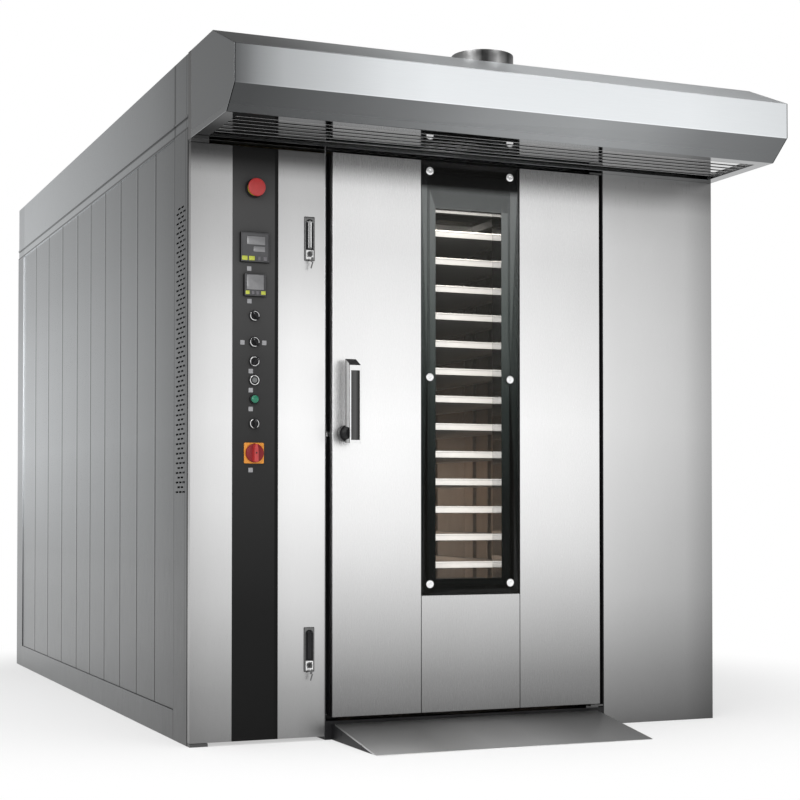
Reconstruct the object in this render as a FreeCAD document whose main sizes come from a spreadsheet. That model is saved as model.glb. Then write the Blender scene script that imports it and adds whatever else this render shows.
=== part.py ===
import FreeCAD, Part
import Sketcher
import os
import re
from FreeCAD import Placement, Rotation, Vector

# Rotating rack oven. The origin is on the floor under the turning axis of the rack.
# +X is to the right of someone facing the door, +Y goes into the oven, +Z is up.
# All lengths are in millimetres.

doc = FreeCAD.newDocument("RackOven")

# ---------------------------------------------------------------- driving sizes

SIZES = {
    # cabinet
    "body_width": 1930, "body_depth": 3100, "body_height": 2200, "axis_setback": 640,
    "service_width": 453, "left_gap": 14, "right_gap": 33, "skin": 2,
    "panel_depth": 25, "panel_recess": 4, "panel_gap": 4, "edge_return": 33,
    "front_post": 166, "rear_post": 139, "front_panel_width": 256,
    "plinth_height": 96, "ledge_low_drop": 244, "ledge_high_drop": 204, "ledge_thick": 7,
    "ledge_proud": 3, "frame_tube": 50, "roof_seam": 3,
    # vents in the front post
    "vent_bottom": 800, "vent_rows": 30, "vent_pitch": 31, "vent_long": 30, "vent_tall": 6,
    "vent_land": 10,
    # hood
    "hood_flat": 240, "hood_front": 463, "hood_drop": 279, "lip_rise": 69, "lip_tall": 116,
    "hood_under_front": 381, "hood_skin": 3, "hood_border": 46,
    "slat_thick": 4, "slat_gap": 16, "grille_recess": 10,
    # ducts
    "outlet_radius": 103, "outlet_height": 49, "outlet_wall": 3, "outlet_setback": 112,
    "flue_radius": 90, "flue_height": 140, "steam_radius": 60, "steam_height": 60,
    "damper_spindle": 5,
    # oven door
    "door_width": 985, "door_bottom": 76, "door_head_gap": 13, "door_proud": 30,
    "door_depth": 80, "door_skin": 2, "pan_depth": 28, "seam_left": 313,
    "window_gap_right": 308, "fold_gap": 2,
    "glass_bottom": 464, "glass_thick": 8, "glass_proud": 2, "border_thick": 2,
    "border_left": 54.5, "border_right": 65.5, "border_low": 52, "border_high": 156,
    "reveal_thick": 2, "inner_glass": 5, "bolt_head": 13.5, "bolt_head_depth": 5,
    "bolt_shank": 4, "bolt_inset": 36, "bolt_side": 26, "bolt_length": 26, "gasket_width": 14,
    "gasket_inset": 18, "seal_gap": 0.3, "jamb_gap": 12, "jamb_depth": 28,
    "door_lap": 52.5, "door_lap_top": 40, "sill_top": 60, "sill_depth": 118,
    # door pivots
    "pivot_inset": 12, "pivot_radius": 8, "pivot_block": 32, "pivot_plate": 6,
    "run_clear": 0.05, "plate_clear": 2, "pivot_plate_half": 24,
    # door handle
    "handle_inset": 42.5, "handle_z": 993, "boss_radius": 27, "boss_depth": 24,
    "bar_offset": 11, "bar_width": 38, "bar_bottom": 960, "bar_top": 1211,
    "bar_slant": 23, "bar_front": 105, "bar_back": 60, "insert_depth": 3,
    "insert_margin": 6, "insert_end": 17, "spindle_radius": 6, "tongue_reach": 49,
    "tongue_wide": 16, "tongue_thick": 8, "tongue_y": 20, "lock_pocket": 56,
    # service door
    "leaf_depth": 26, "leaf_bottom": 12, "leaf_gap": 3, "strip_left": 137, "strip_right": 291,
    "strip_proud": 1, "strip_thick": 3, "leaf_pivot_radius": 5,
    # instruments on the control strip, measured down from the top of the leaf
    "control_x": 209, "estop_drop": 133, "estop_radius": 29, "estop_collar": 31,
    "estop_stem": 14, "estop_stand": 26, "estop_cap": 20, "estop_edge": 9, "estop_face": 7,
    "controller_size": 97, "controller_drop": 323, "timer_size": 73, "timer_drop": 444,
    "case_depth": 50, "case_inset": 4, "bezel_proud": 7, "instrument_proud": 14, "key_size": 9,
    "drop_a": 542, "drop_b": 626, "drop_c": 688, "grey_drop": 748, "green_drop": 809,
    "drop_d": 887, "bezel_radius": 15, "barrel_radius": 12, "barrel_depth": 34,
    "plunger_radius": 9, "plunger_tail": 20, "knob_radius": 12, "knob_depth": 6,
    "knob_tail": 16, "grip_depth": 12, "grip_width": 7, "button_travel": 3,
    "lens_radius": 12.5, "lens_depth": 7,
    "isolator_drop": 981, "isolator_size": 66, "isolator_radius": 30, "isolator_grip": 14,
    "isolator_disc": 8, "isolator_ridge": 16,
    # swing-handle locks
    "lock_x": 397, "lock_upper_drop": 283, "lock_lower": 295, "lock_height": 142,
    "lock_width": 34, "lock_flange": 4, "lock_body": 20, "lever_long": 92,
    "lever_width": 15, "lever_thick": 9, "lever_out": 3, "lever_side": 4, "lever_pin": 3,
    "cylinder_radius": 9, "cylinder_drop": 50, "key_plate": 22,
    # chamber
    "chamber_half": 548, "duct_half": 640, "wool": 118, "wool_share": 0.473,
    "chamber_back": 560, "duct_back": 640, "floor_top": 50, "liner": 2, "roof_space": 310,
    "pillar_depth": 55, "slot_wide": 34, "slot_pitch": 137, "slot_low": 230, "slot_head": 110,
    "exchanger_back": 2040, "suction_tall": 330,
    # rack and its drive
    "turntable_radius": 505, "turntable_thick": 6, "turntable_low": 53,
    "hub_radius": 30, "hub_low": 12, "bearing_radius": 50, "bearing_low": 6,
    "steam_low": 110, "steam_bars": 6, "steam_pitch": 60, "steam_bar": 14, "steam_half": 400,
    "tray_width": 600, "tray_length": 800, "tray_height": 25, "tray_sheet": 1.5,
    "tray_count": 16, "tray_low": 249, "tray_head": 86, "rail_ledge": 20, "rail_sheet": 2,
    "rail_lip": 18, "tray_clear": 3, "post_tube": 25, "rack_head": 75, "rack_bottom": 172,
    "wheel_radius": 50, "wheel_width": 30, "wheel_seat": 0.3, "axle_radius": 6,
    "caster_inset": 75, "fork_plate": 4, "fork_gap": 2, "shaft_radius": 20,
    "hanger_thick": 18, "hanger_width": 60,
    # heater and fans
    "drum_radius": 300, "drum_wall": 5, "drum_z": 520, "drum_front": 900,
    "drum_gap": 80, "tube_radius": 40, "tube_count": 7, "tube_pitch": 130,
    "fan_y": 1330, "fan_radius": 260, "fan_head": 40, "fan_depth": 150,
    "blade_count": 12, "fan_shaft": 15, "burner_flange": 140, "burner_tube": 70,
    # ramp
    "ramp_inset": 9.5, "ramp_front": 394, "ramp_back": 26, "ramp_top": 54,
    "ramp_plate": 4, "ramp_rib": 4, "ramp_ribs": 5,
    # electrical chassis behind the service door
    "chassis_room": 120.5, "chassis_stay": 17, "chassis_plate": 3, "chassis_low": 300, "chassis_high": 1700,
    "chassis_front": 120, "chassis_back": 620, "rail_tall": 35, "rail_deep": 8, "device_gap": 4,
}

sheet = doc.addObject("Spreadsheet::Sheet", "Dims")
for row, (alias, size) in enumerate(SIZES.items(), start=1):
    sheet.set(f"A{row}", alias)
    sheet.set(f"B{row}", str(size))
    sheet.setAlias(f"B{row}", alias)
doc.recompute()

# Places worked out from the sizes. The left and right edges of the body lie so that
# the turning axis is centred on the oven door.
PLACES = {
    "front": "-axis_setback",
    "back": "body_depth - axis_setback",
    "door_left": "-door_width / 2",
    "door_right": "door_width / 2",
    "left": "door_left - left_gap - service_width",
    "right": "left + body_width",
    "recess_left": "door_left - left_gap",
    "recess_right": "door_right + right_gap",
    "trim_depth": "panel_recess + panel_depth",
    "leaf_left": "left",
    "leaf_right": "recess_left - leaf_gap",
    "hood_under": "body_height - hood_drop",
    "hood_lip_bottom": "hood_under + lip_rise",
    "hood_lip_top": "hood_lip_bottom + lip_tall",
    "ledge_low": "body_height - ledge_low_drop",
    "ledge_high": "body_height - ledge_high_drop",
    "door_top": "hood_under - door_head_gap",
    "doorway_half": "door_width / 2 - door_lap",
    "doorway_top": "door_top - door_lap_top",
    "window_left": "door_width / 2 - seam_left - border_left",
    "window_right": "door_width / 2 - window_gap_right - border_right",
    "window_bottom": "glass_bottom + border_low",
    "window_top": "door_top - border_high",
    "handle_x": "door_width / 2 - handle_inset",
    "bar_left": "handle_x + bar_offset",
    "door_front": "front - door_proud",
    "door_rear": "door_front + door_depth",
    "jamb_face": "door_rear + jamb_gap",
    "pivot_x": "door_right - pivot_inset",
    "pivot_y": "door_front + pivot_inset",
    "leaf_top": "door_top",
    "panel_start": "front + edge_return + front_post",
    "panel_end": "back - rear_post",
    "wool_left": "-left - trim_depth - frame_tube - chassis_room",
    "wool_right": "duct_half + liner + wool_share * (right - trim_depth - frame_tube - duct_half - liner)",
    "post_out": "tray_width / 2 + tray_clear + rail_sheet + post_tube",
    "control_line": "left + control_x",
    "estop_z": "leaf_top - estop_drop",
    "controller_z": "leaf_top - controller_drop",
    "timer_z": "leaf_top - timer_drop",
    "selector_a": "leaf_top - drop_a",
    "selector_b": "leaf_top - drop_b",
    "selector_c": "leaf_top - drop_c",
    "selector_d": "leaf_top - drop_d",
    "grey_z": "leaf_top - grey_drop",
    "green_z": "leaf_top - green_drop",
    "isolator_z": "leaf_top - isolator_drop",
    "lock_upper": "leaf_top - lock_upper_drop",
    "bezel_face": "strip_face - bezel_proud",
    "strip_face": "front - strip_proud",
    "turntable_top": "turntable_low + turntable_thick",
    "wheel_z": "turntable_top + wheel_seat + wheel_radius",
    "burner_wall": "exchanger_back + wool",
    "drum_back": "exchanger_back - drum_gap",
    "ceiling": "body_height - roof_space",
    "slot_high": "ceiling - slot_head",
    "suction_low": "ceiling - suction_tall",
    "rack_top": "ceiling - rack_head",
    "tray_top": "rack_top - tray_head",
    "tray_pitch": "(tray_top - tray_height - tray_low) / (tray_count - 1)",
    "fan_top": "ceiling - fan_head",
    "ramp_half": "door_width / 2 - ramp_inset",
    "chassis_face": "-wool_left - chassis_stay - chassis_plate",
    "ceiling_top": "ceiling + liner + wool",
    "outlet_x": "(left + right) / 2",
    "flue_y": "drum_back - 200",
    "flue_bore": "flue_radius - 2 * outlet_wall",
    "steam_bore": "steam_radius - 2 * outlet_wall",
    "damper_z": "(ceiling_top + body_height) / 2",
    "steam_x": "doorway_half - steam_radius - 30",
    "steam_y": "front + sill_depth + 190",
}

WORD = re.compile(r"[A-Za-z_]+[A-Za-z_0-9]*")


def formula(text):
    """Turn a formula in plain size names into one that reads the sheet."""
    def swap(match):
        word = match.group(0)
        if word in PLACES:
            return "(" + formula(PLACES[word]) + ")"
        if word in SIZES:
            return "Dims." + word
        return word
    return WORD.sub(swap, str(text))


def tie(item, prop, text):
    item.setExpression(prop, formula(text))


def count_of(alias):
    return int(sheet.get(alias))


# ---------------------------------------------------------------- building blocks

def place(item, x, y, z):
    tie(item, "Placement.Base.x", x)
    tie(item, "Placement.Base.y", y)
    tie(item, "Placement.Base.z", z)


def box(name, xs, ys, zs):
    """A box between two limits on each axis, each limit a formula."""
    item = doc.addObject("Part::Box", name)
    tie(item, "Length", f"({xs[1]}) - ({xs[0]})")
    tie(item, "Width", f"({ys[1]}) - ({ys[0]})")
    tie(item, "Height", f"({zs[1]}) - ({zs[0]})")
    place(item, xs[0], ys[0], zs[0])
    return item


TURN = {
    "Z": Rotation(),
    "Y": Rotation(Vector(1, 0, 0), -90),
    "X": Rotation(Vector(0, 1, 0), 90),
}


def rod(name, radius, length, x, y, z, axis="Z"):
    """A cylinder whose start lies at x, y, z and that runs along +axis."""
    item = doc.addObject("Part::Cylinder", name)
    item.Placement = Placement(Vector(), TURN[axis])
    tie(item, "Radius", radius)
    tie(item, "Height", length)
    place(item, x, y, z)
    return item


def together(name, members):
    """One solid out of touching or crossing members."""
    item = doc.addObject("Part::MultiFuse", name)
    item.Shapes = members
    item.Refine = True
    return item


def loose(name, members):
    item = doc.addObject("Part::Compound", name)
    item.Links = members
    return item


def cut(name, base, tools):
    item = doc.addObject("Part::Cut", name)
    item.Base = base
    item.Tool = tools[0] if len(tools) == 1 else loose(name + "_tools", tools)
    return item


def shell(name, outer, inner):
    """A hollow box or pipe: the outer form less the inner one."""
    return cut(name, outer, [inner])


NODES = []


def node(name, members):
    """A named sub-part: its separate solids grouped under one label."""
    item = loose(name, members)
    item.Label = name
    NODES.append(item)
    return item


def value_of(text):
    """The present value of a formula, used as a sketch's first guess."""
    return float(sheet.evalExpression(formula(text).replace("Dims.", "")))


def polygon(body, plane, name, corners):
    """A closed outline on one of the body's own planes; corners are pairs of formulas."""
    sketch = body.newObject("Sketcher::SketchObject", name)
    origin_plane = [f for f in body.Origin.OriginFeatures if f.Role == plane][0]
    sketch.AttachmentSupport = [(origin_plane, "")]
    sketch.MapMode = "FlatFace"
    points = [Vector(value_of(u), value_of(v), 0) for u, v in corners]
    count = len(points)
    for i in range(count):
        sketch.addGeometry(Part.LineSegment(points[i], points[(i + 1) % count]))
    for i in range(count):
        sketch.addConstraint(Sketcher.Constraint("Coincident", i, 2, (i + 1) % count, 1))
    for i, (u, v) in enumerate(corners):
        for kind, text, size in (("DistanceX", u, points[i].x), ("DistanceY", v, points[i].y)):
            index = sketch.addConstraint(Sketcher.Constraint(kind, -1, 1, i, 1, size))
            tie(sketch, f"Constraints[{index}]", text)
    return sketch


def prism(name, plane, corners, length, x="0", y="0", z="0"):
    """An outline padded along the plane's normal, as a PartDesign body."""
    body = doc.addObject("PartDesign::Body", name)
    sketch = polygon(body, plane, name + "_outline", corners)
    pad = body.newObject("PartDesign::Pad", name + "_pad")
    pad.Profile = sketch
    tie(pad, "Length", length)
    sketch.Visibility = False
    place(body, x, y, z)
    return body


def ring(name, outer, bore, length, x, y, z, axis="Z"):
    outside = rod(name + "_outside", outer, length, x, y, z, axis)
    inside = rod(name + "_bore", bore, length, x, y, z, axis)
    return shell(name, outside, inside)


def both_sides(low, high, side):
    """X limits on the left (side -1) or mirrored to the right (side +1)."""
    if side < 0:
        return (f"left + {low}", f"left + {high}")
    return (f"right - ({high})", f"right - ({low})")


# ---------------------------------------------------------------- cabinet

def cabinet_frame():
    """Base rails, posts and top rails of square tube, each a bar of its own."""
    tube = "frame_tube"
    bars = []
    for side in (-1, 1):
        xs = both_sides("trim_depth", "trim_depth + frame_tube", side)
        tag = "left" if side < 0 else "right"
        ys = ("front + edge_return + frame_tube", "back - trim_depth")
        bars.append(box(f"base_rail_{tag}", xs, ys, ("0", tube)))
        top = (f"body_height - skin - {tube}", "body_height - skin")
        bars.append(box(f"top_rail_{tag}", xs, ys, top))
        for spot, start in (("front", "panel_start"), ("middle", "exchanger_back + wool"),
                            ("rear", "back - trim_depth - frame_tube")):
            post = (start, f"{start} + {tube}")
            height = (tube, f"body_height - skin - {tube}")
            bars.append(box(f"post_{tag}_{spot}", xs, post, height))
    span = ("left + trim_depth + frame_tube", "right - trim_depth - frame_tube")
    for spot, start in (("middle", "exchanger_back + wool"), ("rear", "back - trim_depth - frame_tube")):
        bars.append(box(f"base_cross_{spot}", span, (start, f"{start} + {tube}"), ("0", tube)))
    for spot, start in (("front", "front + edge_return + frame_tube"),
                        ("middle", "exchanger_back + wool"),
                        ("rear", "back - trim_depth - frame_tube")):
        top = (f"body_height - skin - {tube}", "body_height - skin")
        bars.append(box(f"top_cross_{spot}", span, (start, f"{start} + {tube}"), top))
    node("cabinet_frame", bars)


FRONT_PANELS = 6
REAR_PANELS = 4


def side_panels():
    """Ten folded panels a side: six narrow ones at the chamber, four wider ones behind."""
    heights = ("plinth_height", "ledge_low")
    rear_width = f"((panel_end - panel_start - {FRONT_PANELS} * front_panel_width) / {REAR_PANELS})"
    rear_start = f"(panel_start + {FRONT_PANELS} * front_panel_width)"
    panels = []
    for side in (-1, 1):
        tag = "left" if side < 0 else "right"
        xs = both_sides("panel_recess", "trim_depth", side)
        for i in range(FRONT_PANELS):
            start = f"panel_start + {i} * front_panel_width"
            ys = (f"{start} + panel_gap / 2", f"{start} + front_panel_width - panel_gap / 2")
            panels.append(box(f"panel_{tag}_{i + 1}", xs, ys, heights))
        for i in range(REAR_PANELS):
            start = f"{rear_start} + {i} * {rear_width}"
            ys = (f"{start} + panel_gap / 2", f"{start} + {rear_width} - panel_gap / 2")
            panels.append(box(f"panel_{tag}_{FRONT_PANELS + i + 1}", xs, ys, heights))
    node("side_panels", panels)


def vented_post():
    """The left front post: a sheet with rows of three and two small slots in turn."""
    width = "front_post"
    tall = "(ledge_low - plinth_height)"
    plate = doc.addObject("PartDesign::Body", "vented_post")
    outline = polygon(plate, "YZ_Plane", "post_outline",
                      [("0", "0"), (width, "0"), (width, tall), ("0", tall)])
    pad = plate.newObject("PartDesign::Pad", "post_sheet")
    pad.Profile = outline
    tie(pad, "Length", "skin")
    low = "(vent_bottom - plinth_height)"
    rows = count_of("vent_rows")
    for tag, slots, lift in (("three", 3, "0"), ("two", 2, "vent_pitch / 2")):
        sketch = slot_row(plate, tag, slots, f"{low} + {lift}")
        pocket = plate.newObject("PartDesign::Pocket", f"vents_{tag}")
        pocket.Profile = sketch
        pocket.Type = "ThroughAll"
        pocket.Midplane = True
        pattern = plate.newObject("PartDesign::LinearPattern", f"vent_rows_{tag}")
        pattern.Originals = [pocket]
        pattern.Direction = (sketch, ["V_Axis"])
        tie(pattern, "Length", "vent_pitch * (vent_rows - 1)")
        pattern.Occurrences = rows
        plate.Tip = pattern
    place(plate, "left", "front + edge_return", "plinth_height")
    return plate


def slot_row(body, tag, slots, low):
    """A sketch of a row of slots side by side, on the sheet's own plane."""
    sketch = body.newObject("Sketcher::SketchObject", f"slots_{tag}")
    plane = [f for f in body.Origin.OriginFeatures if f.Role == "YZ_Plane"][0]
    sketch.AttachmentSupport = [(plane, "")]
    sketch.MapMode = "FlatFace"
    pitch = "(vent_long + vent_land)"
    for slot in range(slots):
        start = f"(front_post - {slots} * {pitch} + vent_land) / 2 + {slot} * {pitch}"
        end = f"{start} + vent_long"
        corners = [(start, low), (end, low), (end, f"{low} + vent_tall"), (start, f"{low} + vent_tall")]
        first = slot * 4
        points = [Vector(value_of(u), value_of(v), 0) for u, v in corners]
        for i in range(4):
            sketch.addGeometry(Part.LineSegment(points[i], points[(i + 1) % 4]))
        for i in range(4):
            after = first + (i + 1) % 4
            sketch.addConstraint(Sketcher.Constraint("Coincident", first + i, 2, after, 1))
        for i, (u, v) in enumerate(corners):
            for kind, text, size in (("DistanceX", u, points[i].x), ("DistanceY", v, points[i].y)):
                rule = Sketcher.Constraint(kind, -1, 1, first + i, 1, size)
                index = sketch.addConstraint(rule)
                tie(sketch, f"Constraints[{index}]", text)
    return sketch


def side_trims():
    """Corner posts, plinths, the two ledges and the upper fascia of both sides."""
    run = ("front + edge_return", "back")
    members = [vented_post()]
    for side in (-1, 1):
        tag = "left" if side < 0 else "right"
        deep = both_sides("0", "trim_depth", side)
        members.append(box(f"plinth_{tag}", deep, run, ("0", "plinth_height")))
        members.append(box(f"ledge_low_{tag}", deep, run, ("ledge_low", "ledge_low + ledge_thick")))
        recessed = both_sides("ledge_proud", "trim_depth", side)
        members.append(box(f"frieze_{tag}", recessed, run, ("ledge_low + ledge_thick", "ledge_high")))
        members.append(box(f"ledge_high_{tag}", deep, run, ("ledge_high", "ledge_high + ledge_thick")))
        members.append(box(f"fascia_{tag}", recessed, run, ("ledge_high + ledge_thick", "body_height")))
        post = ("panel_end", "back")
        members.append(box(f"rear_post_{tag}", deep, post, ("plinth_height", "ledge_low")))
    post = ("front + edge_return", "panel_start")
    front_right = both_sides("0", "trim_depth", 1)
    members.append(box("front_post_right", front_right, post, ("plinth_height", "ledge_low")))
    rib = ("left + skin", "left + trim_depth")
    for spot, ys in (("front", ("front + edge_return", "front + edge_return + skin")),
                     ("rear", ("panel_start - skin", "panel_start"))):
        members.append(box(f"post_return_{spot}", rib, ys, ("plinth_height", "ledge_low")))
    node("side_trims", members)


ROOF_SHEETS = 6


def roof_and_rear():
    """Roof sheets with their seams and holes, and four rear sheets between the posts."""
    members = []
    inner = ("left + trim_depth", "right - trim_depth")
    pitch = f"(body_depth - edge_return - trim_depth) / {ROOF_SHEETS}"
    holes = (("shaft", "shaft_radius + 12", "0", "0"), ("fan", "fan_shaft + 12", "0", "fan_y"),
             ("flue", "flue_radius - outlet_wall", "0", "flue_y"),
             ("steam", "steam_radius - outlet_wall", "steam_x", "steam_y"))
    openings = [(value_of(y), rod(f"roof_{tag}_hole", radius, "60", x, y, "body_height - 30"))
                for tag, radius, x, y in holes]
    for i in range(ROOF_SHEETS):
        start = f"front + edge_return + {i} * {pitch}"
        ys = (f"{start} + roof_seam / 2", f"{start} + {pitch} - roof_seam / 2")
        sheet_box = box(f"roof_blank_{i + 1}", inner, ys, ("body_height - skin", "body_height"))
        low, high = value_of(ys[0]), value_of(ys[1])
        inside = [opening for centre, opening in openings if low < centre < high]
        members.append(cut(f"roof_sheet_{i + 1}", sheet_box, inside) if inside else sheet_box)
    wide = f"(body_width - 2 * trim_depth) / {REAR_PANELS}"
    for i in range(REAR_PANELS):
        start = f"left + trim_depth + {i} * {wide}"
        xs = (f"{start} + roof_seam / 2", f"{start} + {wide} - roof_seam / 2")
        heights = ("plinth_height", "body_height - skin")
        members.append(box(f"rear_sheet_{i + 1}", xs, ("back - trim_depth", "back"), heights))
    members.append(box("rear_plinth", inner, ("back - trim_depth", "back"), ("0", "plinth_height")))
    node("roof_and_rear", members)


def front_panels():
    """The right front panel, the header behind the hood and the left top strip."""
    depth = ("front", "front + edge_return")
    right_panel = box("right_front_panel", ("recess_right", "right"), depth, ("0", "hood_under"))
    header = box("hood_backing", ("left", "right"), depth, ("hood_under", "body_height"))
    wall = box("cabinet_divider", ("recess_left - skin", "recess_left"),
               ("front + skin", "jamb_face"), ("leaf_bottom", "hood_under"))
    node("front_panels", [right_panel, header, wall])


def door_frame():
    """Black recess walls, jambs, header and sill that the oven door closes against."""
    walls = ("sill_top", "hood_under")
    side = ("front + skin", "jamb_face")
    jamb = ("jamb_face", "jamb_face + jamb_depth")
    members = [
        box("recess_wall_left", ("recess_left", "recess_left + 3"), side, walls),
        box("recess_wall_right", ("recess_right - 3", "recess_right"), side, walls),
        box("jamb_left", ("recess_left", "-doorway_half"), jamb, walls),
        box("jamb_right", ("doorway_half", "recess_right"), jamb, walls),
        box("header", ("-doorway_half", "doorway_half"), jamb, ("doorway_top", "hood_under")),
        box("sill", ("recess_left", "recess_right"), ("front + skin", "front + sill_depth"),
            ("0", "sill_top")),
    ]
    node("door_frame", members)


def door_fittings():
    """Upper and lower pivot brackets with their pins, the leaf's pivots and the keepers."""
    plate_x = ("pivot_x - pivot_plate_half", "pivot_x + pivot_plate_half")
    plate_y = ("pivot_y - pivot_plate_half + 12", "jamb_face")
    low = ("door_bottom - plate_clear - pivot_plate", "door_bottom - plate_clear")
    high = ("door_top + plate_clear", "door_top + plate_clear + pivot_plate")
    pin = "pivot_block - 4"
    lower = together("lower_bracket", [
        box("lower_plate", plate_x, plate_y, low),
        box("lower_foot", plate_x, ("front + skin", "jamb_face"), ("sill_top", low[0])),
        rod("lower_pin", "pivot_radius", pin, "pivot_x", "pivot_y", low[1]),
    ])
    upper = together("upper_bracket", [
        box("upper_plate", plate_x, plate_y, high),
        rod("upper_pin", "pivot_radius", pin, "pivot_x", "pivot_y", f"{high[0]} - ({pin})"),
    ])
    leaf_pin = "pivot_block - 4"
    hinge_x, hinge_y = "left + leaf_depth / 2", "front + leaf_depth / 2"
    plate = ("left + 1", "left + 60")
    deep = ("front + 1", "front + edge_return - seal_gap")
    leaf_low = together("leaf_lower_bracket", [
        box("leaf_lower_plate", plate, deep, ("0", "leaf_bottom - plate_clear")),
        rod("leaf_lower_pin", "leaf_pivot_radius", leaf_pin, hinge_x, hinge_y,
            "leaf_bottom - plate_clear"),
    ])
    top_z = "leaf_top + plate_clear"
    leaf_high = together("leaf_upper_bracket", [
        box("leaf_upper_plate", plate, deep, (top_z, "hood_under")),
        rod("leaf_upper_pin", "leaf_pivot_radius", leaf_pin, hinge_x, hinge_y,
            f"{top_z} - ({leaf_pin})"),
    ])
    keeper = box("tongue_keeper", ("recess_left + 3", "recess_left + 4.5"),
                 ("front + 4", "front + tongue_y - 1"), ("handle_z - 30", "handle_z + 30"))
    node("door_fittings", [lower, upper, leaf_low, leaf_high, keeper])


# ---------------------------------------------------------------- hood, ducts and ramp

def hood_shell():
    """Folded hood: flat top, sloped nose, upright lip, under-slope and flat underside."""
    shape = [
        ("0", "hood_under"),
        ("-hood_under_front", "hood_under"),
        ("-hood_front", "hood_lip_bottom"),
        ("-hood_front", "hood_lip_top"),
        ("-hood_flat", "body_height"),
        ("0", "body_height"),
    ]
    inner = [
        ("0", "hood_under + hood_skin"),
        ("-hood_under_front + hood_skin / 3", "hood_under + hood_skin"),
        ("-hood_front + hood_skin", "hood_lip_bottom + hood_skin / 2"),
        ("-hood_front + hood_skin", "hood_lip_top - hood_skin / 2"),
        ("-hood_flat", "body_height - hood_skin"),
        ("0", "body_height - hood_skin"),
    ]
    outside = prism("hood_outside", "YZ_Plane", shape, "body_width", "left", "front", "0")
    inside = prism("hood_inside", "YZ_Plane", inner, "body_width - 2 * hood_skin",
                   "left + hood_skin", "front", "0")
    grille = box("grille_opening", ("left + hood_border", "right - hood_border"),
                 ("front - hood_under_front + hood_border", "front - hood_border"),
                 ("hood_under - 5", "hood_under + hood_skin + 5"))
    outlet = rod("outlet_opening", "outlet_radius - outlet_wall", "40", "outlet_x",
                 "front - outlet_setback", "body_height - 20")
    node("hood_shell", [cut("hood_sheet", outside, [inside, grille, outlet])])


SLATS = 7


def hood_grilles():
    """Long slats set a little above the underside, with gaps that draw in the steam."""
    low = "hood_under + grille_recess"
    start = "(front - hood_under_front + hood_border)"
    run = "(hood_under_front - 2 * hood_border)"
    pitch = f"(({run} + slat_gap) / {SLATS})"
    members = []
    for i in range(SLATS):
        ys = (f"{start} + {i} * {pitch}", f"{start} + {i + 1} * {pitch} - slat_gap")
        xs = ("left + hood_border", "right - hood_border")
        members.append(box(f"slat_{i + 1}", xs, ys, (low, f"{low} + slat_thick")))
    for tag, xs in (("left", ("left + hood_skin", "left + hood_border")),
                    ("right", ("right - hood_border", "right - hood_skin"))):
        rim = (start, f"{start} + {run}")
        members.append(box(f"slat_rim_{tag}", xs, rim, ("hood_under + hood_skin", f"{low} + slat_thick")))
    node("hood_grilles", members)


def duct_collars():
    """Outlet collar on the hood, burner flue and steam pipe through the roof."""
    outlet = ring("hood_outlet", "outlet_radius", "outlet_radius - outlet_wall", "outlet_height",
                  "outlet_x", "front - outlet_setback", "body_height")
    collars, pipes = [outlet], []
    for name, radius, tall, x, y in (("flue", "flue_radius", "flue_height", "0", "flue_y"),
                                     ("steam", "steam_radius", "steam_height", "steam_x", "steam_y")):
        inner = f"({radius} - outlet_wall)"
        collars.append(ring(f"{name}_collar", radius, inner, tall, x, y, "body_height"))
        pipes.append(ring(f"{name}_pipe", f"{inner} - seal_gap", f"{inner} - outlet_wall",
                          "body_height - ceiling_top", x, y, "ceiling_top"))
    spindle = rod("damper_bore", "damper_spindle + run_clear", "2 * steam_radius + 40",
                  "steam_x - steam_radius - 20", "steam_y", "damper_z", "X")
    node("duct_collars", collars + [pipes[0], cut("steam_duct", pipes[1], [spindle])])


def damper_blade():
    """Round flap on a spindle through the steam pipe, with its lever outside."""
    blade = rod("damper_disc", "steam_radius - 2 * outlet_wall - 1", "3", "steam_x", "steam_y",
                "damper_z - 1.5")
    spindle = rod("damper_spindle_bar", "damper_spindle", "2 * steam_radius + 30",
                  "steam_x - steam_radius - 24", "steam_y", "damper_z", "X")
    lever = box("damper_lever", ("steam_x - steam_radius - 24", "steam_x - steam_radius - 18"),
                ("steam_y - 40", "steam_y + 8"), ("damper_z - 6", "damper_z + 6"))
    node("damper_blade", [together("damper_flap", [blade, spindle, lever])])


def ramp():
    """Sloping plate with black wedge sides and ribs under it."""
    rise = "ramp_top - ramp_plate - 1"
    plate = prism("ramp_plate_body", "YZ_Plane",
                  [("-ramp_front", "0"), ("-ramp_front + 40", "0"), ("-ramp_back", rise),
                   ("-ramp_back", "ramp_top")],
                  "2 * ramp_half", "-ramp_half", "front", "0")
    members = [plate]
    for i in range(count_of("ramp_ribs")):
        start = f"-ramp_half + {i} * (2 * ramp_half - ramp_rib) / (ramp_ribs - 1)"
        members.append(prism(f"ramp_rib_{i + 1}", "YZ_Plane",
                             [("-ramp_front + 44", "0"), ("skin - seal_gap", "0"), ("skin - seal_gap", rise),
                              ("-ramp_back", rise)],
                             "ramp_rib", start, "front", "0"))
    node("ramp", members)


# ---------------------------------------------------------------- oven door

COLUMNS = {
    "left": ("door_left", "door_left + seam_left"),
    "middle": ("door_left + seam_left", "door_right - window_gap_right"),
    "right": ("door_right - window_gap_right", "door_right"),
}


def bolt_spots():
    """Centres of the six glass bolts: three heights on each side of the window."""
    rows = ("door_top - bolt_inset", "(glass_bottom + door_top) / 2", "glass_bottom + bolt_inset")
    sides = ("-window_left - bolt_side", "window_right + bolt_side")
    return [(x, z) for x in sides for z in rows]


def bolt_rods(tag, radius, start, length):
    return [rod(f"{tag}_{i + 1}", radius, length, x, start, z, "Y")
            for i, (x, z) in enumerate(bolt_spots())]


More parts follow.
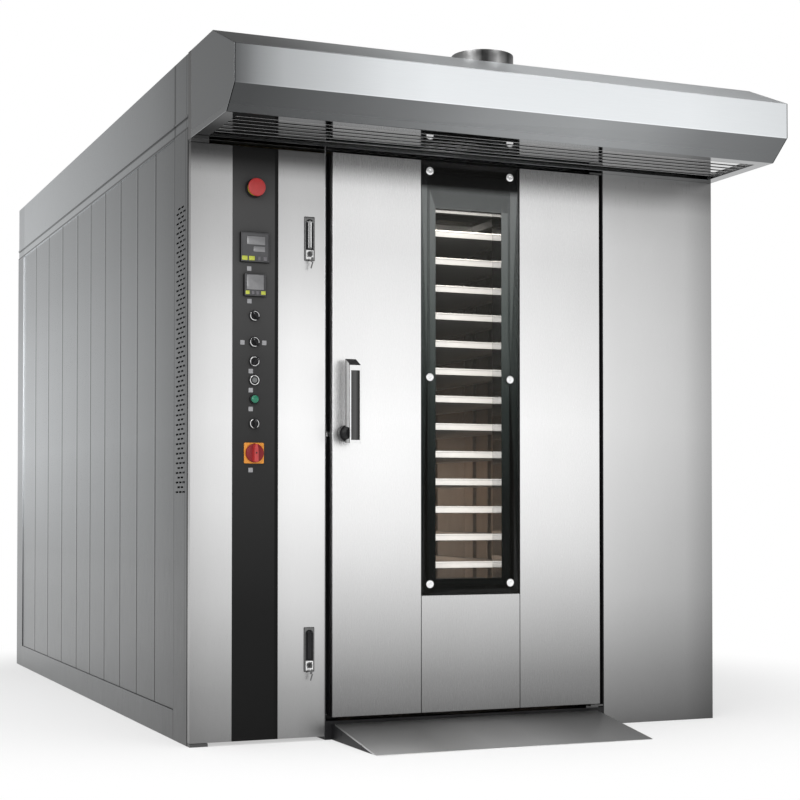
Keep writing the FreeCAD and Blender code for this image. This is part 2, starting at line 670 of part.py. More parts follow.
def door_panels():
    """Three folded steel pans: full height left and right, and the lower centre one."""
    members = []
    for tag, xs in COLUMNS.items():
        top = "glass_bottom - fold_gap" if tag == "middle" else "door_top"
        x0 = xs[0] if tag == "left" else f"{xs[0]} + fold_gap / 2"
        x1 = xs[1] if tag == "right" else f"{xs[1]} - fold_gap / 2"
        pan = box(f"pan_{tag}", (x0, x1), ("door_front", "door_front + pan_depth"), ("door_bottom", top))
        hollow = box(f"pan_{tag}_hollow", (f"{x0} + door_skin", f"{x1} - door_skin"),
                     ("door_front + door_skin", "door_front + pan_depth + 1"),
                     ("door_bottom + door_skin", f"{top} - door_skin"))
        tools = [hollow]
        if tag == "left":
            tools.append(rod("pan_spindle_hole", "spindle_radius + 1", "20", "-handle_x",
                             "door_front - 5", "handle_z", "Y"))
            tools.append(box("pan_tongue_slot", ("door_left - 5", "door_left + 6"),
                             ("front + tongue_y - 8", "front + tongue_y + tongue_thick + 8"),
                             ("handle_z - lock_pocket", "handle_z + lock_pocket")))
        if tag == "right":
            for spot, z in (("low", "door_bottom - 5"), ("high", "door_top - door_skin - 5")):
                tools.append(rod(f"pan_pivot_hole_{spot}", "pivot_radius + 1", "door_skin + 10",
                                 "pivot_x", "pivot_y", z))
        members.append(cut(f"door_pan_{tag}", pan, tools))
    node("door_panels", members)


def door_core():
    """Insulated leaf behind the pans: two tall slabs, one below and one above the window."""
    inset = "door_skin"
    back = "door_rear - door_skin"
    low, high = f"door_bottom + {inset}", f"door_top - {inset}"
    win_left, win_right = "-window_left - reveal_thick", "window_right + reveal_thick"
    pan_back = "door_front + door_skin"
    glass_back = "door_front - glass_proud + glass_thick + border_thick"
    left_slab = box("core_left", (f"door_left + {inset}", f"door_left + seam_left - {inset} - 1"),
                    (pan_back, back), (low, high))
    pocket = box("lock_case_space", ("door_left - 5", "-handle_x + lock_pocket"),
                 ("front + tongue_y - 8", "front + tongue_y + tongue_thick + 8"),
                 ("handle_z - lock_pocket", "handle_z + lock_pocket"))
    channel = rod("spindle_channel", "spindle_radius + 1", "60", "-handle_x", "door_front", "handle_z", "Y")
    right_slab = box("core_right", (f"door_right - window_gap_right + {inset} + 1",
                                    f"door_right - {inset}"), (pan_back, back), (low, high))
    pivots = [box(f"pivot_space_{spot}",
                  ("door_right - pivot_block - door_skin", "door_right - door_skin + 5"),
                  (pan_back, "door_front + pivot_block + door_skin"), zs)
              for spot, zs in (("low", (f"{low} - 5", f"{low} + pivot_block")),
                               ("high", (f"{high} - pivot_block", f"{high} + 5")))]
    middle = ("door_left + seam_left + 1", "door_right - window_gap_right - 1")
    bolts = bolt_rods("core_bolt_hole", "bolt_shank + 0.2", "front - 25", "60")
    centre_x = (f"{middle[0]}", f"{middle[1]}")
    centre = box("core_centre", centre_x, (glass_back, back), ("glass_bottom", high))
    window = box("core_window", (win_left, win_right), (f"{glass_back} - 5", f"{back} + 5"),
                 ("window_bottom - reveal_thick", "window_top + reveal_thick"))
    lower = box("core_lower", (f"{middle[0]} + {inset}", f"{middle[1]} - {inset}"),
                (pan_back, back), (low, f"glass_bottom - fold_gap - {inset}"))
    node("door_core", [cut("left_leaf", left_slab, [pocket, channel]),
                       cut("right_leaf", right_slab, pivots),
                       cut("window_leaf", centre, [window] + bolts), lower])


def door_liner():
    """Inner steel sheet of the door with its bright window reveal."""
    sheet_box = box("liner_blank", ("door_left", "door_right"), ("door_rear - door_skin", "door_rear"),
                    ("door_bottom", "door_top"))
    hole = box("liner_window", ("-window_left - reveal_thick", "window_right + reveal_thick"),
               ("door_rear - 10", "door_rear + 10"),
               ("window_bottom - reveal_thick", "window_top + reveal_thick"))
    deep = ("door_front - glass_proud + glass_thick + border_thick", "door_rear")
    tube = shell("window_reveal",
                 box("reveal_outside", ("-window_left - reveal_thick", "window_right + reveal_thick"), deep,
                     ("window_bottom - reveal_thick", "window_top + reveal_thick")),
                 box("reveal_inside", ("-window_left", "window_right"),
                     (f"{deep[0]} - 1", f"{deep[1]} + 1"), ("window_bottom", "window_top")))
    node("door_liner", [cut("inner_sheet", sheet_box, [hole]), tube])


def door_gasket():
    """One silicone loop on the inner sheet, which meets the jambs when the door is shut."""
    deep = ("door_rear", "jamb_face - seal_gap")
    edge = "gasket_inset"
    wide = "(gasket_inset + gasket_width)"
    outer = box("gasket_outside", (f"door_left + {edge}", f"door_right - {edge}"), deep,
                (f"door_bottom + {edge}", f"door_top - {edge}"))
    inner = box("gasket_inside", (f"door_left + {wide}", f"door_right - {wide}"),
                ("door_rear - 5", "jamb_face + 5"), (f"door_bottom + {wide}", f"door_top - {wide}"))
    node("door_gasket", [shell("seal_loop", outer, inner)])


def window_panes():
    """Tall outer pane with six bolt holes and a smaller inner pane inside the reveal."""
    xs = ("door_left + seam_left + fold_gap / 2", "door_right - window_gap_right - fold_gap / 2")
    ys = ("door_front - glass_proud", "door_front - glass_proud + glass_thick")
    outer = box("outer_blank", xs, ys, ("glass_bottom", "door_top"))
    holes = bolt_rods("pane_hole", "bolt_shank + 1", "door_front - glass_proud - 5", "20")
    inner = box("inner_pane", ("-window_left + seal_gap", "window_right - seal_gap"),
                ("door_rear - inner_glass - 4", "door_rear - 4"),
                ("window_bottom + seal_gap", "window_top - seal_gap"))
    node("window_panes", [cut("outer_pane", outer, holes), inner])


def glass_border():
    """Black mask behind the outer pane, open at the window."""
    face = "door_front - glass_proud + glass_thick"
    xs = ("door_left + seam_left + fold_gap / 2", "door_right - window_gap_right - fold_gap / 2")
    blank = box("border_blank", xs, (face, f"{face} + border_thick"), ("glass_bottom", "door_top"))
    hole = box("border_window", ("-window_left", "window_right"), (f"{face} - 5", f"{face} + 10"),
               ("window_bottom", "window_top"))
    holes = bolt_rods("border_hole", "bolt_shank + 1", f"{face} - 5", "15")
    node("glass_border", [cut("border_sheet", blank, [hole] + holes)])


def glass_bolts():
    """Six round-headed chrome bolts that clamp the pane to the leaf."""
    members = []
    start = "door_front - glass_proud - bolt_head_depth"
    heads = bolt_rods("bolt_head", "bolt_head", start, "bolt_head_depth")
    shanks = bolt_rods("bolt_shank", "bolt_shank", start, "bolt_head_depth + bolt_length")
    for i, (head, shank) in enumerate(zip(heads, shanks)):
        members.append(together(f"glass_bolt_{i + 1}", [head, shank]))
    node("glass_bolts", members)


def door_hardware():
    """Bored pivot blocks in the leaf's corners and the round base of the handle."""
    x = ("door_right - door_skin - pivot_block", "door_right - door_skin")
    y = ("door_front + door_skin", "door_front + door_skin + pivot_block")
    members = []
    for spot, low in (("low", "door_bottom + door_skin"), ("high", "door_top - door_skin - pivot_block")):
        block = box(f"pivot_block_{spot}", x, y, (low, f"{low} + pivot_block"))
        bore = rod(f"pivot_bore_{spot}", "pivot_radius + run_clear", "pivot_block + 10",
                   "pivot_x", "pivot_y", f"{low} - 5")
        members.append(cut(f"door_pivot_{spot}", block, [bore]))
    members.append(ring("handle_base", "boss_radius", "spindle_radius + run_clear", "boss_depth",
                        "-handle_x", "door_front - boss_depth", "handle_z", "Y"))
    node("door_hardware", members)


def handle_lever():
    """Upright bar on a spindle, with the tongue that turns inside the leaf."""
    bar = prism("handle_bar", "YZ_Plane",
                [("-bar_front", "bar_bottom"), ("-bar_back", "bar_bottom"),
                 ("-bar_back", "bar_top + bar_slant"), ("-bar_front", "bar_top")],
                "bar_width", "-bar_left", "front", "0")
    recess = box("insert_recess", ("-bar_left + insert_margin", "-bar_left + bar_width - insert_margin"),
                 ("front - bar_front - 5", "front - bar_front + insert_depth"),
                 ("bar_bottom + insert_end", "bar_top - insert_end"))
    neck = rod("handle_neck", "boss_radius - 2", "bar_back - door_proud - boss_depth - seal_gap",
               "-handle_x", "front - bar_back", "handle_z", "Y")
    spindle = rod("handle_spindle", "spindle_radius", "bar_back + tongue_y + tongue_thick",
                  "-handle_x", "front - bar_back", "handle_z", "Y")
    tongue = box("latch_tongue", ("-handle_x - tongue_reach", "-handle_x + 12"),
                 ("front + tongue_y", "front + tongue_y + tongue_thick"),
                 ("handle_z - tongue_wide / 2", "handle_z + tongue_wide / 2"))
    grip = cut("handle_frame", bar, [recess])
    node("handle_lever", [together("handle_body", [grip, neck, spindle, tongue])])


def handle_insert():
    """Black grip strip let into the face of the handle."""
    clear = "0.2"
    strip = box("grip_strip",
                (f"-bar_left + insert_margin + {clear}", f"-bar_left + bar_width - insert_margin - {clear}"),
                ("front - bar_front + 0.5", "front - bar_front + insert_depth"),
                (f"bar_bottom + insert_end + {clear}", f"bar_top - insert_end - {clear}"))
    node("handle_insert", [strip])


# ---------------------------------------------------------------- service door and controls

# Each selector's height and the way its grip points, in degrees clockwise from upright.
SELECTORS = {"selector_a": -45, "selector_b": -45, "selector_c": 45, "selector_d": 0}
BUTTONS = {"grey_button": "grey_z", "green_button": "green_z"}
LOCKS = {"upper": "lock_upper", "lower": "lock_lower"}


def strip_holes():
    """Every opening in the control strip and in the leaf behind it."""
    holes = []
    deep = "strip_face - 5"
    for tag, size, z in (("controller", "controller_size", "controller_z"),
                         ("timer", "timer_size", "timer_z")):
        half = f"({size} / 2 - case_inset)"
        holes.append(box(f"{tag}_cutout", (f"control_line - {half}", f"control_line + {half}"),
                         (deep, "front + 30"), (f"{z} - {half}", f"{z} + {half}")))
    for name, z in [(n, n) for n in SELECTORS] + list(BUTTONS.items()):
        holes.append(rod(f"{name}_hole", "barrel_radius + seal_gap", "40", "control_line", deep, z, "Y"))
    holes.append(rod("estop_hole", "estop_stem + 3.3", "40", "control_line", deep, "estop_z", "Y"))
    holes.append(rod("isolator_hole", "barrel_radius", "40", "control_line", deep, "isolator_z", "Y"))
    return holes


def service_door():
    """Full-height folded leaf with a sunk middle for the control strip and two lock cut-outs."""
    pan = box("leaf_blank", ("leaf_left", "leaf_right"), ("front", "front + leaf_depth"),
              ("leaf_bottom", "leaf_top"))
    hollow = box("leaf_hollow", ("leaf_left + skin", "leaf_right - skin"),
                 ("front + strip_thick + skin", "front + leaf_depth + 1"),
                 ("leaf_bottom + skin", "leaf_top - skin"))
    sunk = box("strip_seat", ("left + strip_left", "left + strip_right"),
               ("front - 1", "strip_face + strip_thick"), ("leaf_bottom - 1", "leaf_top + 1"))
    window = box("strip_window", ("left + strip_left + 12", "left + strip_right - 12"),
                 ("front - 1", "front + strip_thick + skin + 1"), ("leaf_bottom + 60", "leaf_top - 60"))
    tools = [hollow, sunk, window]
    for tag, z in LOCKS.items():
        tools.append(box(f"lock_cutout_{tag}", ("left + lock_x - lock_width / 2 + 3",
                                                "left + lock_x + lock_width / 2 - 3"),
                         ("front - 1", "front + strip_thick + skin + 1"),
                         (f"{z} - lock_height / 2 + 5", f"{z} + lock_height / 2 - 5")))
    hinge_x, hinge_y = "left + leaf_depth / 2", "front + leaf_depth / 2"
    blocks = []
    for spot, low in (("low", "leaf_bottom"), ("high", "leaf_top - pivot_block")):
        tools.append(rod(f"leaf_pin_hole_{spot}", "leaf_pivot_radius + 1", "skin + 4",
                         hinge_x, hinge_y,
                         "leaf_bottom - 2" if spot == "low" else "leaf_top - skin - 2"))
        base = f"{low} + skin" if spot == "low" else low
        block = box(f"leaf_block_{spot}", ("left + skin", "left + leaf_depth"),
                    ("front + strip_thick + skin", "front + leaf_depth"),
                    (base, f"{low} + pivot_block - skin" if spot == "high" else f"{low} + pivot_block"))
        bore = rod(f"leaf_bore_{spot}", "leaf_pivot_radius + run_clear", "pivot_block + 10",
                   hinge_x, hinge_y, f"{low} - 5")
        blocks.append(cut(f"leaf_pivot_{spot}", block, [bore]))
    node("service_door", [cut("leaf_pan", pan, tools)] + blocks)


def control_panel():
    """Black strip let into the service door, full height, with every control cut-out."""
    strip = box("strip_blank", ("left + strip_left + 0.5", "left + strip_right - 0.5"),
                ("strip_face", "strip_face + strip_thick"), ("leaf_bottom", "leaf_top"))
    node("control_panel", [cut("control_strip", strip, strip_holes())])


def panel_instruments():
    """Square controller and smaller square timer: a bezel in front, a case through the strip."""
    members = []
    for tag, size, z in (("controller", "controller_size", "controller_z"),
                         ("timer", "timer_size", "timer_z")):
        half = f"{size} / 2"
        bezel = box(f"{tag}_bezel", (f"control_line - {half}", f"control_line + {half}"),
                    ("strip_face - instrument_proud", "strip_face"), (f"{z} - {half}", f"{z} + {half}"))
        inner = f"({size} / 2 - case_inset - seal_gap)"
        case = box(f"{tag}_case", (f"control_line - {inner}", f"control_line + {inner}"),
                   ("strip_face", "strip_face + case_depth"), (f"{z} - {inner}", f"{z} + {inner}"))
        screen = box(f"{tag}_screen", (f"control_line - 0.38 * {size}", f"control_line + 0.38 * {size}"),
                     ("strip_face - instrument_proud - 1", "strip_face - instrument_proud + 2"),
                     (f"{z} - 0.1 * {size}", f"{z} + 0.36 * {size}"))
        members.append(together(f"{tag}_body", [cut(f"{tag}_front", bezel, [screen]), case]))
        for k in range(4):
            x = f"control_line + ({k} - 1.5) * 0.21 * {size}"
            members.append(box(f"{tag}_key_{k + 1}", (f"{x} - key_size / 2", f"{x} + key_size / 2"),
                               ("strip_face - instrument_proud - 1.5", "strip_face - instrument_proud"),
                               (f"{z} - 0.38 * {size}", f"{z} - 0.38 * {size} + key_size")))
    node("panel_instruments", members)


def switch_bezels():
    """Round bezels with their barrels behind the strip, one at each switch and button."""
    members = []
    for name, z in [(n, n) for n in SELECTORS] + list(BUTTONS.items()):
        bore = "plunger_radius + run_clear"
        front_ring = ring(f"{name}_ring", "bezel_radius", bore, "bezel_proud", "control_line",
                          "strip_face - bezel_proud", z, "Y")
        barrel = ring(f"{name}_barrel", "barrel_radius", bore, "barrel_depth", "control_line",
                      "strip_face", z, "Y")
        members.append(together(f"{name}_bezel", [front_ring, barrel]))
    node("switch_bezels", members)


def yellow_backplates():
    """Round collar of the emergency stop and square plate of the main isolator."""
    collar = ring("estop_collar_ring", "estop_collar", "estop_stem + run_clear", "bezel_proud",
                  "control_line", "strip_face - bezel_proud", "estop_z", "Y")
    barrel = ring("estop_barrel", "estop_stem + 3", "estop_stem + run_clear", "barrel_depth + 10",
                  "control_line", "strip_face", "estop_z", "Y")
    half = "isolator_size / 2"
    plate = box("isolator_plate", (f"control_line - {half}", f"control_line + {half}"),
                ("strip_face - bezel_proud", "strip_face"),
                (f"isolator_z - {half}", f"isolator_z + {half}"))
    bore = rod("isolator_bore", "plunger_radius + run_clear", "60", "control_line",
               "strip_face - 20", "isolator_z", "Y")
    case = rod("isolator_case", "barrel_radius - seal_gap", "barrel_depth", "control_line",
               "strip_face", "isolator_z", "Y")
    node("yellow_backplates", [together("estop_base", [collar, barrel]),
                               cut("isolator_base", together("isolator_blank", [plate, case]), [bore])])


def estop_cap():
    """Red mushroom head with its stem, which is pressed in."""
    head = "strip_face - bezel_proud - estop_stand"
    dome = doc.addObject("PartDesign::Body", "estop_dome")
    half = polygon(dome, "XY_Plane", "estop_profile",
                   [("0", "0"), ("estop_radius - estop_edge", "0"), ("estop_radius", "estop_face"),
                    ("estop_radius", "estop_cap"), ("0", "estop_cap")])
    turn = dome.newObject("PartDesign::Revolution", "estop_turn")
    turn.Profile = half
    turn.ReferenceAxis = (half, ["V_Axis"])
    turn.Angle = 360
    place(dome, "control_line", head, "estop_z")
    stem = rod("estop_stem_rod", "estop_stem", "estop_stand - estop_cap + bezel_proud + 20",
               "control_line", f"{head} + estop_cap", "estop_z", "Y")
    node("estop_cap", [together("estop_button", [dome, stem])])


def turned_grip(name, angle, front_y, z):
    """A bar across a knob, turned about the knob's own axis."""
    across = Rotation(Vector(0, 1, 0), angle)
    grip = doc.addObject("Part::Box", name)
    tie(grip, "Length", "grip_width")
    tie(grip, "Width", "grip_depth")
    tie(grip, "Height", "2 * bezel_radius")
    grip.Placement = Placement(Vector(), across)
    side = across.multVec(Vector(1, 0, 0))
    up = across.multVec(Vector(0, 0, 1))
    x = f"control_line - ({side.x:.6f} * grip_width / 2 + {up.x:.6f} * bezel_radius)"
    place(grip, x, front_y, f"{z} - ({side.z:.6f} * grip_width / 2 + {up.z:.6f} * bezel_radius)")
    return grip


def selectors():
    """Four black knobs, each with a raised grip and a spigot in its bezel."""
    for name, angle in SELECTORS.items():
        head = "strip_face - bezel_proud - seal_gap - knob_depth"
        disc = rod(f"{name}_disc", "knob_radius", "knob_depth", "control_line", head, name, "Y")
        spigot = rod(f"{name}_spigot", "plunger_radius", "knob_depth + bezel_proud + knob_tail",
                     "control_line", head, name, "Y")
        grip = turned_grip(f"{name}_grip", angle, f"{head} - grip_depth", name)
        node(f"{name}_knob", [together(f"{name}_body", [disc, spigot, grip])])


def buttons():
    """Two sprung pushbuttons: a flat one inside its bezel and one with a lens that stands out."""
    for name, z in BUTTONS.items():
        start = "bezel_face - button_travel - seal_gap"
        plunger = rod(f"{name}_plunger", "plunger_radius",
                      "button_travel + seal_gap + bezel_proud + plunger_tail", "control_line", start, z, "Y")
        if name == "green_button":
            lens = rod("green_lens", "lens_radius", "lens_depth", "control_line",
                       f"{start} - lens_depth", z, "Y")
            plunger = together("green_cap", [plunger, lens])
        node(name, [plunger])


def isolator_knob():
    """Red rotary knob of the main isolator with a broad grip."""
    head = "bezel_face - seal_gap - isolator_disc"
    disc = rod("isolator_dial", "isolator_radius", "isolator_disc", "control_line", head, "isolator_z", "Y")
    spigot = rod("isolator_spigot", "plunger_radius", "isolator_disc + bezel_proud + knob_tail",
                 "control_line", head, "isolator_z", "Y")
    grip = box("isolator_handle", ("control_line - isolator_grip / 2", "control_line + isolator_grip / 2"),
               (f"{head} - isolator_ridge", head),
               ("isolator_z - isolator_radius + 1", "isolator_z + isolator_radius - 1"))
    node("isolator_knob", [together("isolator_body", [disc, spigot, grip])])


def lock_housings():
    """Two housings with a long recess for the lever and a bored seat for the cylinder."""
    members = []
    for tag, z in LOCKS.items():
        mid = "left + lock_x"
        flange = box(f"lock_flange_{tag}", (f"{mid} - lock_width / 2", f"{mid} + lock_width / 2"),
                     ("front - lock_flange", "front"), (f"{z} - lock_height / 2", f"{z} + lock_height / 2"))
        body = box(f"lock_body_{tag}", (f"{mid} - lock_width / 2 + 4", f"{mid} + lock_width / 2 - 4"),
                   ("front", "front + lock_body"), (f"{z} - lock_height / 2 + 6", f"{z} + lock_height / 2 - 6"))
        wide = "(lever_width / 2 + lever_side)"
        recess = box(f"lever_recess_{tag}", (f"{mid} - {wide}", f"{mid} + {wide}"),
                     ("front - lock_flange - 1", "front + lock_body - 3"),
                     (f"{z} - cylinder_drop + cylinder_radius + 3", f"{z} + lock_height / 2 - 8"))
        bore = rod(f"cylinder_bore_{tag}", "cylinder_radius + run_clear", "40", mid,
                   "front - lock_flange - 5", f"{z} - cylinder_drop", "Y")
        blank = together(f"lock_blank_{tag}", [flange, body])
        members.append(cut(f"lock_housing_{tag}", blank, [recess, bore]))
    node("lock_housings", members)


def lock_levers():
    """Swing levers, pivoted at the top of their recess."""
    for tag, z in LOCKS.items():
        mid = "left + lock_x"
        top = f"({z} + lock_height / 2 - 8 - 3)"
        half = "lever_thick / 2"
        x0 = f"{mid} - lever_width / 2"
        face = f"front - lever_out - {half}"
        pivot_z = f"{top} - {half}"
        bar = box(f"lever_bar_{tag}", (x0, f"{mid} + lever_width / 2"),
                  (face, f"{face} + lever_thick"), (f"{top} - lever_long", pivot_z))
        eye = rod(f"lever_eye_{tag}", half, "lever_width", x0, "front - lever_out", pivot_z, "X")
        stub = "lever_side - seal_gap"
        pin = rod(f"lever_pin_{tag}", "lever_pin", f"lever_width + 2 * ({stub})", f"{x0} - ({stub})",
                  "front - lever_out", pivot_z, "X")
        node(f"lock_lever_{tag}", [together(f"lever_{tag}", [bar, eye, pin])])


def lock_keys():
    """Cylinder plugs with a key in each, its bow standing out and a spare hanging from it."""
    for tag, z in LOCKS.items():
        mid = "left + lock_x"
        axis_z = f"{z} - cylinder_drop"
        plug = rod(f"plug_{tag}", "cylinder_radius", "lock_flange + lock_body", mid,
                   "front - lock_flange - 1", axis_z, "Y")
        bow = box(f"key_bow_{tag}", (f"{mid} - 1", f"{mid} + 1"),
                  ("front - lock_flange - 1 - key_plate", "front - lock_flange - 1"),
                  (f"{axis_z} - 7", f"{axis_z} + 7"))
        spare = box(f"spare_key_{tag}", (f"{mid} - 1", f"{mid} + 1"),
                    ("front - lock_flange - 1 - key_plate", "front - lock_flange - 12"),
                    (f"{axis_z} - 52", f"{axis_z} - 7"))
        node(f"lock_key_{tag}", [together(f"key_{tag}", [plug, bow, spare])])


# ---------------------------------------------------------------- chamber

def chamber_liner():
    """Steel sheets of the chamber: floor, ceiling, duct backs, rear wall and front pillars."""
    front_in = "front + sill_depth + seal_gap"
    half = "duct_half"
    floor_sheet = box("floor_sheet", (f"-{half}", half), (front_in, "duct_back"),
                      ("floor_top", "floor_top + liner"))
    hub_hole = rod("floor_hub_hole", "hub_radius + 4", "20", "0", "0", "floor_top - 10")
    ceiling_sheet = box("ceiling_sheet", (f"-{half}", half), (front_in, "exchanger_back"),
                        ("ceiling", "ceiling + liner"))
    holes = [rod("ceiling_shaft_hole", "shaft_radius + 6", "20", "0", "0", "ceiling - 10"),
             rod("ceiling_fan_hole", "fan_shaft + 6", "20", "0", "fan_y", "ceiling - 10"),
             rod("ceiling_flue_hole", "flue_bore", "20", "0", "flue_y", "ceiling - 10"),
             rod("ceiling_steam_hole", "steam_bore", "20", "steam_x", "steam_y", "ceiling - 10")]
    members = [cut("chamber_floor", floor_sheet, [hub_hole]),
               cut("chamber_ceiling", ceiling_sheet, holes)]
    walls = ("floor_top + liner", "ceiling")
    pillar_back = "front + sill_depth + pillar_depth"
    for side, tag in ((-1, "left"), (1, "right")):
        out = (f"-({half} + liner)", f"-{half}") if side < 0 else (half, f"{half} + liner")
        members.append(box(f"duct_wall_{tag}", out, (front_in, "exchanger_back"),
                           ("floor_top", "ceiling + liner")))
        inner = "doorway_half"
        face = (f"-{half}", f"-({inner} + liner)") if side < 0 else (f"{inner} + liner", half)
        members.append(box(f"pillar_sheet_{tag}", face, (pillar_back, f"{pillar_back} + liner"), walls))
        edge = (f"-({inner} + liner)", f"-{inner}") if side < 0 else (inner, f"{inner} + liner")
        members.append(box(f"pillar_edge_{tag}", edge, (front_in, f"{pillar_back} + liner"), walls))
    members.append(box("heater_floor", (f"-{half}", half), ("duct_back", "exchanger_back"),
                       ("floor_top", "floor_top + liner")))
    members.append(box("duct_rear", (f"-{half}", half), ("duct_back", "duct_back + liner"),
                       ("floor_top + liner", "suction_low")))
    node("chamber_liner", members)


SIDE_SLOTS = 7
REAR_SLOTS = 7


def air_ducts():
    """Slotted sheets on both sides and at the rear, which blow and draw the hot air."""
    members = []
    walls = ("floor_top + liner", "ceiling")
    for side, tag in ((-1, "left"), (1, "right")):
        xs = ("chamber_half", "chamber_half + liner")
        if side < 0:
            xs = ("-chamber_half - liner", "-chamber_half")
        ys = ("-chamber_half + 110", "chamber_back - liner")
        sheet_box = box(f"duct_sheet_{tag}", xs, ys, walls)
        slots = []
        for i in range(SIDE_SLOTS):
            y = f"({i} - {(SIDE_SLOTS - 1) / 2}) * slot_pitch + 50"
            slots.append(box(f"duct_slot_{tag}_{i + 1}", (f"{xs[0]} - 5", f"{xs[1]} + 5"),
                             (f"{y} - slot_wide / 2", f"{y} + slot_wide / 2"), ("slot_low", "slot_high")))
        members.append(cut(f"slotted_{tag}", sheet_box, slots))
        close = (f"-duct_half", f"-chamber_half") if side < 0 else ("chamber_half", "duct_half")
        members.append(box(f"duct_end_{tag}", close, ("-chamber_half + 108", "-chamber_half + 110"), walls))
    rear = box("rear_duct_sheet", ("-duct_half", "duct_half"), ("chamber_back", "chamber_back + liner"), walls)
    slots = []
    for i in range(REAR_SLOTS):
        x = f"({i} - {(REAR_SLOTS - 1) / 2}) * slot_pitch"
        slots.append(box(f"rear_slot_{i + 1}", (f"{x} - slot_wide / 2", f"{x} + slot_wide / 2"),
                         ("chamber_back - 5", "chamber_back + 10"), ("slot_low", "slot_high")))
    members.append(cut("slotted_rear", rear, slots))
    node("air_ducts", members)


def insulation():
    """Mineral wool slabs round the chamber and heater, and the hard slab under the floor."""
    tube = "frame_tube"
    slab_x = (f"left + trim_depth + {tube}", f"right - trim_depth - {tube}")
    slab = box("slab_blank", slab_x, ("front + sill_depth + seal_gap", "burner_wall"), ("0", "floor_top"))
    seat = rod("bearing_seat", "bearing_radius", "60", "0", "0", "bearing_low")
    half = "duct_half + liner"
    walls = ("floor_top", "ceiling + liner")
    front_in = "front + sill_depth + seal_gap"
    top = box("wool_top_blank", ("-wool_left", "wool_right"), (front_in, "burner_wall"),
              ("ceiling + liner", "ceiling_top"))
    top_holes = [rod("wool_shaft_hole", "shaft_radius + 6", "200", "0", "0", "ceiling - 10"),
                 rod("wool_fan_hole", "fan_shaft + 6", "200", "0", "fan_y", "ceiling - 10"),
                 rod("wool_flue_hole", "flue_bore", "200", "0", "flue_y", "ceiling - 10"),
                 rod("wool_steam_hole", "steam_bore", "200", "steam_x", "steam_y", "ceiling - 10")]
    rear = box("wool_rear_blank", ("-wool_left", "wool_right"), ("exchanger_back", "burner_wall"), walls)
    rear_hole = rod("wool_burner_hole", "burner_tube + 1", "200", "0", "exchanger_back - 10",
                    "drum_z", "Y")
    members = [cut("floor_slab", slab, [seat]), cut("wool_top", top, top_holes),
               cut("wool_rear", rear, [rear_hole])]
    for side, tag in ((-1, "left"), (1, "right")):
        xs = ("-wool_left", f"-({half})") if side < 0 else (half, "wool_right")
        members.append(box(f"wool_{tag}", xs, (front_in, "exchanger_back"), walls))
        inner = "doorway_half + liner"
        pillar = (f"-({half} - liner)", f"-({inner})") if side < 0 else (inner, f"{half} - liner")
        members.append(box(f"wool_pillar_{tag}", pillar, (front_in, "front + sill_depth + pillar_depth"),
                           ("floor_top + liner", "ceiling")))
    node("insulation", members)


def heat_exchanger():
    """Combustion drum on two saddles, smoke tubes above it and a header at each end."""
    drum = shell("combustion_drum",
                 rod("drum_outside", "drum_radius", "drum_back - drum_front", "0", "drum_front", "drum_z", "Y"),
                 rod("drum_inside", "drum_radius - drum_wall", "drum_back - drum_front - 2 * drum_wall",
                     "0", "drum_front + drum_wall", "drum_z", "Y"))
    mouth = rod("drum_mouth", "burner_tube + 1", "40", "0", "drum_back - 20", "drum_z", "Y")
    members = [cut("fire_drum", drum, [mouth])]
    low = "(drum_z + drum_radius + 30)"
    headers = (("front", "drum_front", "drum_front + 120"), ("rear", "drum_back - 290", "drum_back"))
    for tag, start, end in headers:
        members.append(box(f"header_{tag}", ("-450", "450"), (start, end), (low, f"{low} + 260")))
        members.append(box(f"neck_{tag}", ("-120", "120"), (start, end),
                           ("drum_z + drum_radius - 8", low)))
    necks = [members[2], members[4]]
    drum_form = rod("drum_form", "drum_radius", "drum_back - drum_front + 20", "0", "drum_front - 10",
                    "drum_z", "Y")
    for spot, neck in zip((2, 4), necks):
        members[spot] = cut(neck.Name + "_seated", neck, [drum_form] if spot == 2 else
                            [rod("drum_form_rear", "drum_radius", "drum_back - drum_front + 20", "0",
                                 "drum_front - 10", "drum_z", "Y")])
    for i in range(count_of("tube_count")):
        x = f"({i} - (tube_count - 1) / 2) * (tube_pitch)"
        members.append(rod(f"smoke_tube_{i + 1}", "tube_radius",
                           "drum_back - 290 - drum_front - 120", x, "drum_front + 120",
                           f"{low} + 130", "Y"))
    flue_low = f"{low} + 260"
    members.append(rod("flue_riser", "flue_bore - 1", f"ceiling_top - 20 - ({flue_low})", "0", "flue_y",
                       flue_low))
    for i, start in enumerate(("drum_front + 100", "drum_back - 200")):
        saddle = box(f"saddle_blank_{i + 1}", ("-220", "220"), (start, f"{start} + 80"),
                     ("floor_top + liner", "drum_z - 60"))
        form = rod(f"saddle_form_{i + 1}", "drum_radius", "200", "0", f"{start} - 60", "drum_z", "Y")
        members.append(cut(f"saddle_{i + 1}", saddle, [form]))
    node("heat_exchanger", members)


def burner():
    """Burner on the rear wall: flange, blast tube, fan housing, motor and a filter box."""
    wall = "burner_wall"
    flange = ring("burner_plate", "burner_flange", "burner_tube - 4", "12", "0", wall, "drum_z", "Y")
    blast = ring("blast_tube", "burner_tube", "burner_tube - 4", f"{wall} - drum_back + 30", "0",
                 "drum_back - 30", "drum_z", "Y")
    body = box("burner_body", ("-110", "110"), (f"{wall} + 12", f"{wall} + 210"),
               ("drum_z - 110", "drum_z + 130"))
    scroll = rod("burner_fan_case", "120", "90", "110", f"{wall} + 145", "drum_z", "X")
    motor = rod("burner_motor", "55", "110", "200", f"{wall} + 145", "drum_z", "X")
    node("burner", [flange, blast, together("burner_unit", [body, scroll, motor])])


